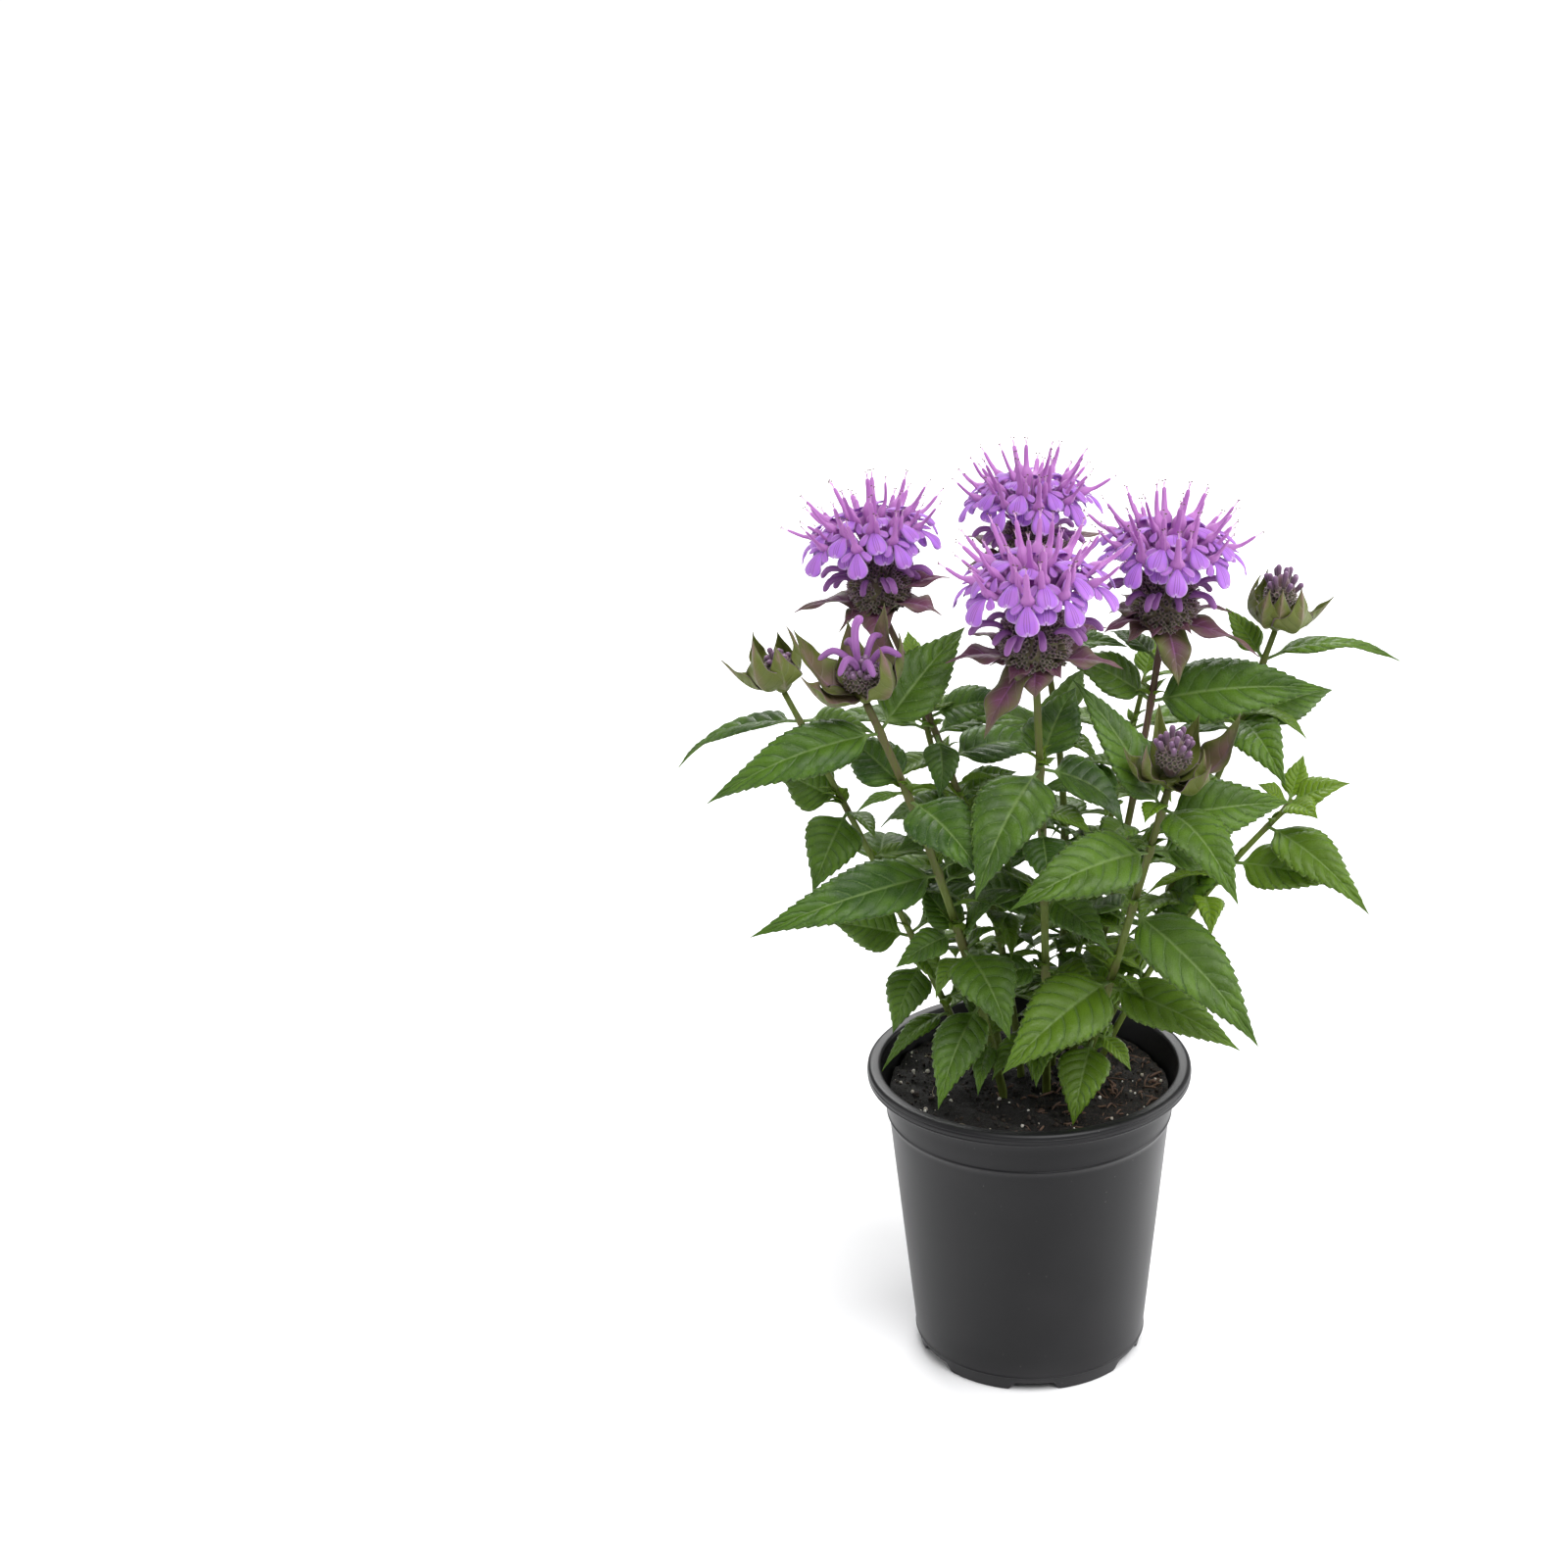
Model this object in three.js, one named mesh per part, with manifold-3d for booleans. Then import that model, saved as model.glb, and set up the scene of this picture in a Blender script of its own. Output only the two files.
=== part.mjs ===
// Potted bee balm: four open lilac blooms, four bud heads and leafy stems in a black nursery pot.
// Millimetres, +Z up. The origin is the centre of the pot's foot on the ground; -Y faces the viewer.
import * as THREE from "three";
import { mergeVertices } from "three/addons/utils/BufferGeometryUtils.js";
import Module from "manifold-3d";

const wasm = await Module();
wasm.setup();

// Driving dimensions
const CLEARANCE = 0.3;
const POT = {
  height: 160,
  rimRadius: 82.5,
  lipWidth: 7,
  lipHeight: 6.5,
  lipBead: 3.4,
  collarBottom: 134,
  collarRadius: 71.6,
  collarFlare: 4.6,
  footRadius: 58.6,
  footHeight: 8,
  step: 1,
  wall: 1.5,
  floorBottom: 5.6,
  floorTop: 7.4,
  sides: 32,
};
const NOTCH = { count: 6, turn: 2.4, footWidth: 28, topWidth: 18.5, height: 4.6, depth: 16 };
const DRAIN = { radius: 4.5, fromAxis: 46, sides: 8 };
const SOIL = { level: 146, mound: 2.2, ripple: 1.4, rings: 4, sides: 16, grains: 5, grainSize: 1.3 };
const STEM = { rootDepth: 26, aboveSoil: 5, steps: 7, sides: 4 };
const LEAF = {
  stalk: 6,
  stalkShare: 0.14,
  stalkHalf: 0.9,
  halfThickness: 0.7,
  fold: 14,
  toothSpacing: 19,
  longLeaf: 55,
};

// A blade's half width grows as u^rise and shrinks as (1 - u)^fall from its foot to its tip.
const LEAF_SHAPE = { rise: 0.52, fall: 1.2 };
const BRACT_SHAPE = { rise: 0.6, fall: 1 };

// Stems. base is where a stem meets the soil, pull bends it as a Bezier handle, top carries its head.
// A leaf is [place along the stem, facing in degrees with 0 to the right and 90 away from the viewer,
// length, rise of its tip in degrees, width, lift of its arch, roll about its own line in degrees].
const STEMS = [
  {
    name: "front", base: [9, -10], pull: [9, -30, 260], top: [4, -45, 384], radii: [2.7, 2.3],
    leaves: [
      [0.8, -119, 76, -36, 40, 9, -8],
      [0.8, 24, 60, -40, 34, 9, 30],
      [0.5, 150, 50, -16, 27, 7, -20],
      [0.66, 118, 58, -4, 30, 9, 0],
      [0.79, 64, 50, 38, 31, 5, 0],
      [0.66, -82, 36, -34, 22, 6, 10],
      [0.5, -40, 44, -24, 24, 6, 20],
      [0.31, -160, 40, -4, 24, 6, -20],
      [0.31, -30, 31, -8, 22, 5, 20],
      [0.15, -98, 44, -12, 20, 7, 0],
      [0.15, -132, 42, -16, 20, 6, 0],
    ],
  },
  {
    name: "left", base: [-4, 5], pull: [-14, 8, 270], top: [-69, 12, 394], radii: [2.4, 2.0],
    leaves: [
      [0.79, -6, 44, 14, 26, 5, 30],
      [0.7, 30, 60, -4, 30, 8, 20],
      [0.76, -84, 34, -50, 20, 5, -20],
      [0.6, 158, 50, -22, 22, 7, -20],
      [0.57, -146, 42, -8, 26, 6, -40],
      [0.42, -30, 46, -14, 24, 6, 20],
      [0.42, 176, 44, -4, 24, 6, -20],
      [0.57, 72, 60, 0, 28, 8, 0],
      [0.35, 84, 50, -4, 28, 8, 0],
    ],
  },
  {
    name: "back", base: [12, 18], pull: [30, 42, 285], top: [1, 62, 397], radii: [2.5, 2.1],
    leaves: [
      [0.66, -60, 52, 62, 30, 4, 10],
      [0.66, 172, 84, 8, 26, 8, -10],
      [0.84, 95, 46, -2, 26, 7, 0],
      [0.84, -20, 44, 10, 22, 5, 20],
      [0.45, 100, 60, -6, 32, 9, 0],
      [0.45, 150, 60, -2, 30, 8, 0],
      [0.25, 105, 56, -10, 28, 8, 0],
    ],
  },
  {
    name: "right", base: [20, 8], pull: [48, 8, 260], top: [65, 8, 386], radii: [2.5, 2.1],
    leaves: [
      [0.86, -8, 86, 8, 36, 8, 46],
      [0.86, 176, 50, 29, 28, 4, -30],
      [0.94, 130, 36, 14, 16, 4, 0],
      [0.7, 74, 58, -8, 28, 9, 0],
      [0.66, 168, 48, 0, 26, 6, -20],
      [0.45, 106, 38, -6, 24, 6, 0],
    ],
  },
  {
    name: "bud_far_left", base: [-26, 3], pull: [-66, 2, 250], top: [-118, -8, 363], radii: [2.2, 1.8],
    leaves: [
      [0.93, 160, 76, -26, 28, 9, -4],
      [0.93, 8, 38, -12, 22, 4, 20],
      [0.73, 157, 38, 16, 27, 3, -48],
      [0.71, -118, 47, -38, 30, 8, -24],
      [0.55, 90, 54, -2, 28, 7, 0],
      [0.38, 170, 42, 5, 26, 4, -48],
      [0.32, -120, 42, -44, 24, 6, -14],
      [0.17, -134, 50, -20, 13, 9, -10],
    ],
  },
  {
    name: "bud_left", base: [-13, -18], pull: [-36, -28, 270], top: [-76, -48, 372], radii: [2.7, 2.3],
    leaves: [
      [0.92, -167, 90, -18, 29, 13, -44],
      [0.92, 44, 70, 36, 33, 4, 28],
      [0.76, 142, 46, 30, 28, 3, -30],
      [0.74, -49, 60, -22, 34, 8, 20],
      [0.76, -154, 27, -8, 11, 3, 0],
      [0.55, -155, 100, -9, 30, 9, -44],
      [0.55, 54, 40, 8, 22, 4, 10],
      [0.38, 139, 36, 40, 21, 2, -20],
      [0.38, -29, 38, 52, 20, 2, 30],
      [0.4, -153, 37, -17, 19, 4, -28],
      [0.36, -62, 56, -30, 34, 8, 8],
      [0.22, -117, 60, -38, 28, 8, -8],
      [0.12, -101, 40, -14, 13, 6, 0],
    ],
  },
  {
    name: "bud_right", base: [30, 16], pull: [76, 18, 250], top: [120, 18, 384], radii: [2.2, 1.8],
    leaves: [
      [0.94, -8, 66, 3, 20, 9, 0],
      [0.94, 142, 33, 46, 15, 2, -30],
      [0.82, 26, 54, 8, 26, 6, 40],
      [0.82, -62, 48, -22, 26, 12, 24],
      [0.8, 150, 36, -10, 20, 4, -10],
      [0.6, 75, 60, -4, 28, 8, 0],
      [0.38, -26, 62, 44, 34, 3, 36],
      [0.2, -48, 40, -14, 10, 8, 0],
    ],
  },
  {
    name: "bud_front", base: [24, -18], pull: [44, -38, 236], top: [66, -60, 333], radii: [2.6, 2.2],
    leaves: [
      [0.93, 160, 76, 56, 33, 2, -20],
      [0.95, -111, 30, 6, 13, 3, 0],
      [0.94, -54, 64, -28, 30, 12, 12],
      [0.91, 10, 64, 3, 30, 5, 48],
      [0.81, -149, 79, -8, 36, 10, -36],
      [0.81, 22, 44, -14, 26, 5, 36],
      [0.63, -37, 90, -34, 37, 9, 24],
      [0.63, 130, 54, -26, 26, 6, -10],
      [0.45, -137, 26, 54, 10, 1, -20],
      [0.4, -140, 76, -22, 40, 9, -30],
      [0.38, -24, 72, -18, 30, 7, 30],
      [0.2, -105, 48, -40, 27, 7, -4],
      [0.22, -40, 27, -30, 14, 3, 0],
    ],
  },
  {
    name: "shoot_right", base: [33, 2], pull: [66, 2, 235], top: [130, 0, 302], radii: [2.1, 1.6],
    leaves: [
      [0.98, 59, 27, 54, 14, 1, 20],
      [0.98, -13, 33, 26, 20, 3, 30],
      [0.98, -66, 29, 10, 18, 3, 20],
      [0.98, -170, 20, 40, 15, 1, -20],
      [0.9, -45, 70, -24, 27, 9, 24],
      [0.76, -24, 56, -2, 26, 5, 44],
      [0.62, 80, 56, -4, 26, 7, 0],
    ],
  },
  {
    name: "rear_left", base: [-14, 20], pull: [-32, 48, 240], top: [-58, 68, 345], radii: [2.3, 1.7],
    leaves: [
      [0.98, 100, 30, 44, 15, 2, 0],
      [0.98, -140, 30, 30, 14, 2, 0],
      [0.86, 165, 66, -6, 30, 9, 0],
      [0.84, 20, 50, 4, 24, 6, 0],
      [0.66, 105, 54, -14, 30, 8, 0],
      [0.5, -178, 62, -8, 30, 8, 0],
      [0.3, 120, 56, -20, 28, 8, 0],
    ],
  },
  {
    name: "rear_right", base: [14, 34], pull: [36, 62, 240], top: [60, 76, 340], radii: [2.3, 1.7],
    leaves: [
      [0.98, 70, 30, 44, 15, 2, 0],
      [0.98, -50, 30, 26, 14, 2, 0],
      [0.86, 15, 66, -6, 30, 9, 0],
      [0.84, 140, 52, 0, 24, 6, 0],
      [0.66, 75, 43, -16, 27, 7, 0],
      [0.5, -2, 60, -6, 30, 8, 0],
      [0.3, 60, 56, -22, 28, 8, 0],
    ],
  },
];

// Open blooms by the stem that carries them: lean is the tilt about X and about Y in degrees. Each bract
// under a bloom is [angle round the head, rise of its tip in degrees, length].
const BLOOMS = [
  {
    stem: "front", lean: [4, -1], spin: -96, size: 1.03, seed: 11,
    bracts: [[-42, -45, 42], [4, -36, 19], [-76, 2, 41], [-116, 12, 36], [82, 0, 40], [132, 10, 41], [-166, 8, 34]],
  },
  {
    stem: "left", lean: [2, -9], spin: -60, size: 0.94, seed: 23,
    bracts: [[-114, 8, 46], [52, 18, 39], [24, -2, 41], [-88, -12, 28], [-40, -16, 24], [112, 14, 34], [172, 14, 34]],
  },
  {
    stem: "back", lean: [0, 0], spin: -120, size: 0.92, seed: 37,
    bracts: [[138, 20, 46], [-88, 16, 42], [40, 8, 36], [-16, 8, 36], [88, 12, 36], [-150, 12, 36], [-52, 4, 34]],
  },
  {
    stem: "right", lean: [4, 4], spin: -84, size: 0.98, seed: 41,
    bracts: [[11, -47, 34], [68, -13, 50], [98, 6, 35], [-100, 3, 27], [-140, 8, 29], [150, 10, 34], [-52, -12, 25]],
  },
];

// A bloom's points are [distance from its axis, height above the end of its stem].
const HEAD = {
  sides: 14,
  top: 29,
  rows: [
    { at: [4, 0], out: 0 },
    { at: [11, 5], out: 0 },
    { at: [14, 12], out: 6 },
    { at: [15, 17], out: 7 },
    { at: [14, 22], out: 7 },
    { at: [11, 26.5], out: 6 },
  ],
};
const HOOK = { count: 6, root: [13, 25], bend: [24.5, 29.5], tip: [31, 24.5], radii: [1.4, 1.6, 0.6] };
const BRACT = { root: [4, 6.5], width: 15, fold: 16, lift: 4 };
const CROWN = {
  sides: 6,
  top: 42,
  rows: [
    { at: [10, 29.5], out: 0 },
    { at: [10, 33], out: 0 },
    { at: [6, 39], out: 0 },
  ],
  rings: [
    { count: 9, root: [9, 33], throat: [25.5, 46.5], hood: [43, 56], lip: [38, 36], steep: [-10, 10] },
    { count: 9, root: [6, 34], throat: [18.5, 52], hood: [31.5, 68], lip: [33, 45.5], steep: [-6, 5] },
    { count: 5, root: [2.5, 36], throat: [8, 54], hood: [14, 74], lip: [20, 55], steep: [0, 0] },
  ],
};
const FLORET = { tubeHalf: 1.1, mouthHalf: 1.7, hoodHalf: 1.1, lipHalf: 4.6, lipTip: 0.55, lipThick: 0.9 };

// A floret's corners: 0 to 2 root, 3 to 5 mouth, 6 fork, 7 to 9 hood, 10 hood tip, 11 to 14 margin of
// the lip, 15 and 16 the lip's upper and lower rib.
const FLORET_FACES = [
  [0, 2, 1],
  [0, 1, 4], [0, 4, 3], [0, 3, 5], [0, 5, 2], [1, 2, 5], [1, 5, 4],
  [3, 4, 8], [3, 8, 7], [3, 7, 9], [3, 9, 5], [4, 6, 8], [6, 9, 8], [6, 5, 9],
  [7, 8, 10], [8, 9, 10], [9, 7, 10],
  [6, 4, 11], [6, 11, 15], [11, 13, 15], [13, 14, 15], [14, 12, 15], [12, 6, 15], [12, 5, 6],
  [4, 16, 11], [4, 5, 16], [5, 12, 16], [11, 16, 13], [13, 16, 14], [14, 16, 12],
];

// Bud heads. Each bract of a cup is [angle round the head, distance of its tip from the axis, height of
// its tip, width]. The closed florets inside reach up to a height, and some have begun to curl out.
const BUDS = [
  {
    stem: "bud_far_left", lean: [4, -10], seed: 5, florets: 6, reach: 21, curls: 0,
    cup: [[8, 10, 31, 11], [78, 9, 28, 13], [146, 10, 31, 15], [-166, 24, 27, 13], [-122, 11, 31, 20]],
  },
  {
    stem: "bud_left", lean: [10, -4], seed: 7, florets: 7, reach: 30, curls: 4,
    cup: [
      [14, 19, 33, 18], [62, 23, 41, 17], [112, 20, 34, 18], [160, 31, 37, 20], [-152, 29, 28, 19], [-38, 14, 31, 20],
    ],
  },
  {
    stem: "bud_right", lean: [4, 6], seed: 13, florets: 7, reach: 29, curls: 0,
    cup: [
      [6, 24, 21, 14], [66, 10, 29, 13], [122, 12, 27, 15], [178, 10.5, 27.5, 17], [-124, 12, 24, 17], [-58, 14, 26, 21],
    ],
  },
  {
    stem: "bud_front", lean: [12, 6], seed: 17, florets: 9, reach: 26, curls: 0,
    cup: [[6, 27, 43, 20], [64, 21, 31, 15], [116, 18, 37, 11], [-176, 21, 25, 16], [-52, 23, 26, 16]],
  },
];
const RECEPTACLE = { bottom: 2.5, radius: 5, rim: 4.4, rimFrom: 4, height: 6, sides: 8 };
const CLUB = { core: 4, coreHeight: 7, circle: 5.2, radii: [1, 1.3, 0.5] };
const CURL = { radii: [1.6, 1.8, 2, 0.8], high: 28, rise: 3, out: [2, 5, 10, 14] };

const LOOKS = {
  pot: { color: "#2f2f33", roughness: 0.45 },
  soil: { color: "#2a2019", roughness: 0.95 },
  leaf: { color: "#3f6d2c", roughness: 0.55 },
  calyx: { color: "#5b3b4c", roughness: 0.7 },
  petal: { color: "#a463cf", roughness: 0.6 },
  bract: { color: "#7c7a4a", roughness: 0.6 },
  closed: { color: "#7d5a86", roughness: 0.65 },
};

const UP = new THREE.Vector3(0, 0, 1);
const GOLDEN_ANGLE = 137.5;
const radians = THREE.MathUtils.degToRad;

// A repeatable random draw from 0 to 1.
function randomFrom(seed) {
  let state = seed * 7919;
  return () => {
    state = (state * 16807) % 2147483647;
    return state / 2147483647;
  };
}

// The point at a distance from the axis, at an angle and a height.
function around(distance, angle, height) {
  return new THREE.Vector3(distance * Math.cos(angle), distance * Math.sin(angle), height);
}

// A closed geometry as a solid for joining and cutting, turned to face out.
function solidOf(geometry) {
  const bare = geometry.clone();
  bare.deleteAttribute("normal");
  bare.deleteAttribute("uv");
  const merged = mergeVertices(bare, 1e-4);
  const triVerts = new Uint32Array(merged.index.array);
  const vertProperties = merged.attributes.position.array;
  const build = () => new wasm.Manifold(new wasm.Mesh({ numProp: 3, vertProperties, triVerts }));
  const solid = build();
  if (solid.volume() > 0) return solid;
  for (let i = 0; i < triVerts.length; i += 3) {
    [triVerts[i + 1], triVerts[i + 2]] = [triVerts[i + 2], triVerts[i + 1]];
  }
  return build();
}

function geometryOf(solid) {
  const mesh = solid.getMesh();
  const geometry = new THREE.BufferGeometry();
  geometry.setAttribute("position", new THREE.BufferAttribute(mesh.vertProperties, mesh.numProp));
  geometry.setIndex(new THREE.BufferAttribute(mesh.triVerts, 1));
  geometry.computeVertexNormals();
  return geometry;
}

function solidFrom(points, faces) {
  const geometry = new THREE.BufferGeometry().setFromPoints(points);
  geometry.setIndex(faces);
  return solidOf(geometry);
}

function fuse(solids) {
  return solids.reduce((whole, next) => whole.add(next));
}

function node(name, solid, look) {
  const material = new THREE.MeshStandardMaterial({ metalness: 0, ...LOOKS[look] });
  const mesh = new THREE.Mesh(geometryOf(solid), material);
  mesh.name = name;
  return mesh;
}

// A solid turned about Z from a profile of [radius, height] that starts and ends on the axis.
function lathe(profile, sides) {
  const points = profile.map(([radius, height]) => new THREE.Vector2(radius, height));
  const geometry = new THREE.LatheGeometry(points, sides);
  geometry.rotateX(Math.PI / 2);
  return solidOf(geometry);
}

// A tapering rod of few sides along a list of points, with a flat end at each.
function rod(points, radii, sides, turn = 0) {
  const vertices = [];
  const faces = [];
  let across = around(1, turn, 0);
  points.forEach((point, i) => {
    const along = points[Math.min(i + 1, points.length - 1)].clone();
    along.sub(points[Math.max(i - 1, 0)]).normalize();
    across = across.clone().addScaledVector(along, -across.dot(along)).normalize();
    const over = along.clone().cross(across);
    for (let k = 0; k < sides; k++) {
      const corner = around(radii[i], (2 * Math.PI * k) / sides, 0);
      vertices.push(point.clone().addScaledVector(across, corner.x).addScaledVector(over, corner.y));
    }
  });
  const id = (ring, k) => ring * sides + (k % sides);
  const last = points.length - 1;
  for (let ring = 0; ring < last; ring++) {
    for (let k = 0; k < sides; k++) {
      const [a, b, c, d] = [id(ring, k), id(ring, k + 1), id(ring + 1, k + 1), id(ring + 1, k)];
      faces.push(a, b, c, a, c, d);
    }
  }
  for (let k = 1; k + 1 < sides; k++) {
    faces.push(id(0, 0), id(0, k + 1), id(0, k));
    faces.push(id(last, 0), id(last, k), id(last, k + 1));
  }
  return solidFrom(vertices, faces);
}

// Joins a rib and a margin that share their ends by a strip of triangles.
function strip(rib, margin, faces, flip) {
  let i = 0;
  let j = 0;
  while (i + 1 < rib.length || j + 1 < margin.length) {
    const marginDone = j + 1 === margin.length;
    const ribNext = marginDone || (i + 1 < rib.length && rib[i + 1].u <= margin[j + 1].u);
    const third = ribNext ? rib[i + 1].id : margin[j + 1].id;
    const corners = [rib[i].id, third, margin[j].id];
    if (ribNext) i++;
    else j++;
    if (new Set(corners).size < 3) continue;
    if (flip) corners.reverse();
    faces.push(...corners);
  }
}

// The half width of a blade at u from 0 to 1, as a share of its widest half.
function halfWidth(shape, u) {
  const peak = shape.rise / (shape.rise + shape.fall);
  const most = peak ** shape.rise * (1 - peak) ** shape.fall;
  return (u ** shape.rise * (1 - u) ** shape.fall) / most;
}

// Places along a toothed margin as [u, share of the half width]: each tooth runs out and steps back in.
function toothedMargin(teeth) {
  const places = [[0.05, 1]];
  for (let k = 0; k < teeth; k++) {
    places.push([(k + 0.85) / (teeth + 0.7), 1.06]);
    places.push([(k + 1.05) / (teeth + 0.7), 0.86]);
  }
  return places;
}

// A thin arched blade from root to tip, folded along its rib, with sharp edges. margin lists
// [u, share of the half width] along each edge, and a stalk comes before the blade.
function blade({ root, tip, up, lift, width, roll = 0, fold = 0, stalk = 0, shape, margin, ribs }) {
  const chord = tip.clone().sub(root);
  const foot = stalk / chord.length();
  const along = chord.clone().normalize();
  const normal = up.clone().addScaledVector(along, -up.dot(along)).normalize();
  normal.applyAxisAngle(along, radians(roll));
  const side = along.clone().cross(normal);
  const handle = root.clone().add(tip).multiplyScalar(0.5).addScaledVector(normal, 2 * lift);
  const curve = new THREE.QuadraticBezierCurve3(root, handle, tip);
  const points = [root.clone(), tip.clone()];
  const start = { u: 0, id: 0 };
  const end = { u: 1, id: 1 };
  const place = (u, sideways, upwards) => {
    const raised = side.clone().cross(curve.getTangent(u));
    points.push(curve.getPoint(u).addScaledVector(side, sideways).addScaledVector(raised, upwards));
    return { u, id: points.length - 1 };
  };
  const edge = (sign) => {
    const places = foot > 0 ? [place(foot, sign * LEAF.stalkHalf, 0)] : [];
    for (const [u, share] of margin) {
      const half = (width / 2) * halfWidth(shape, u) * share;
      const sideways = sign * half * Math.cos(radians(fold));
      places.push(place(foot + (1 - foot) * u, sideways, half * Math.sin(radians(fold))));
    }
    return [start, ...places, end];
  };
  const rib = (sign) => {
    const places = foot > 0 ? [place(foot, 0, sign * LEAF.stalkHalf)] : [];
    for (let k = 1; k <= ribs; k++) {
      const u = foot + ((1 - foot) * k) / (ribs + 1);
      places.push(place(u, 0, sign * LEAF.halfThickness * (1.1 - 0.5 * u)));
    }
    return [start, ...places, end];
  };
  const [right, left, upper, lower] = [edge(1), edge(-1), rib(1), rib(-1)];
  const faces = [];
  strip(upper, right, faces, false);
  strip(upper, left, faces, true);
  strip(lower, right, faces, true);
  strip(lower, left, faces, false);
  return solidFrom(points, faces);
}

// A dome whose rows of corners stand out by turns, as the points of crowded calyces do.
function spikedDome(rows, sides, low, high) {
  const vertices = [around(0, 0, low), around(0, 0, high)];
  const faces = [];
  rows.forEach(({ at: [distance, height], out }, row) => {
    for (let k = 0; k < sides; k++) {
      const stands = (k + row) % 2 === 0 ? out : 0;
      vertices.push(around(distance + stands, (2 * Math.PI * k) / sides, height + 0.25 * stands));
    }
  });
  const id = (row, k) => 2 + row * sides + (k % sides);
  const last = rows.length - 1;
  for (let k = 0; k < sides; k++) {
    faces.push(0, id(0, k + 1), id(0, k));
    for (let row = 0; row < last; row++) {
      const [a, b, c, d] = [id(row, k), id(row, k + 1), id(row + 1, k + 1), id(row + 1, k)];
      if ((k + row) % 2 === 0) faces.push(a, b, d, b, c, d);
      else faces.push(a, b, c, a, c, d);
    }
    faces.push(1, id(last, k), id(last, k + 1));
  }
  return solidFrom(vertices, faces);
}

// The pot's section, from its floor out over the foot, the wall and the lip, and back inside.
function potProfile() {
  const { height, rimRadius, collarBottom, collarRadius, footRadius, footHeight, step, wall } = POT;
  const lipBottom = height - POT.lipHeight;
  const footInside = footRadius - step - wall;
  return [
    [0, POT.floorBottom],
    [footInside, POT.floorBottom],
    [footInside, 0],
    [footRadius - step, 0],
    [footRadius, footHeight - step / 2],
    [footRadius + step, footHeight],
    [collarRadius, collarBottom - step / 2],
    [collarRadius + step, collarBottom],
    [collarRadius + POT.collarFlare, lipBottom],
    [rimRadius - step / 2, lipBottom],
    [rimRadius, height - POT.lipBead],
    [rimRadius - step / 2, height - step],
    [rimRadius - 2 * step, height],
    [rimRadius - POT.lipWidth, height - step],
    [collarRadius + step - wall, collarBottom + wall],
    [footRadius + step - wall, POT.floorTop],
    [0, POT.floorTop],
  ];
}

// The inside radius of the pot's wall at a height, between its floor and its collar.
function potInside(z) {
  const [low, high] = [POT.footRadius, POT.collarRadius].map((radius) => radius + POT.step - POT.wall);
  const share = (z - POT.floorTop) / (POT.collarBottom + POT.wall - POT.floorTop);
  return low + (high - low) * Math.min(share, 1);
}

// A wedge that cuts one notch into the foot, before it is turned round to its place.
function notchCutter() {
  const outline = new THREE.Shape([
    new THREE.Vector2(-NOTCH.footWidth / 2, -CLEARANCE),
    new THREE.Vector2(NOTCH.footWidth / 2, -CLEARANCE),
    new THREE.Vector2(NOTCH.topWidth / 2, NOTCH.height),
    new THREE.Vector2(-NOTCH.topWidth / 2, NOTCH.height),
  ]);
  const geometry = new THREE.ExtrudeGeometry(outline, { depth: NOTCH.depth, bevelEnabled: false });
  geometry.rotateX(Math.PI / 2);
  geometry.rotateZ(Math.PI / 2);
  geometry.translate(POT.footRadius - NOTCH.depth / 2, 0, 0);
  return geometry;
}

function potSolid() {
  let solid = lathe(potProfile(), POT.sides);
  for (let k = 0; k < NOTCH.count; k++) {
    const angle = radians(-90 + NOTCH.turn + (360 * k) / NOTCH.count);
    const notch = notchCutter().rotateZ(angle);
    const drain = new THREE.CylinderGeometry(DRAIN.radius, DRAIN.radius, POT.floorTop, DRAIN.sides);
    drain.rotateX(Math.PI / 2);
    const { x, y, z } = around(DRAIN.fromAxis, angle, POT.floorBottom);
    drain.translate(x, y, z);
    solid = solid.subtract(solidOf(notch)).subtract(solidOf(drain));
  }
  return solid;
}

// The height of the soil: low ripples, a little higher round the crown of stems.
function soilHeight(x, y) {
  const mound = SOIL.mound * Math.exp(-(x * x + y * y) / 900);
  const ripple = Math.sin(0.19 * x + 0.6) * Math.cos(0.16 * y) + 0.6 * Math.sin(0.31 * y + 0.23 * x);
  return SOIL.level + mound + SOIL.ripple * ripple;
}

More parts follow.
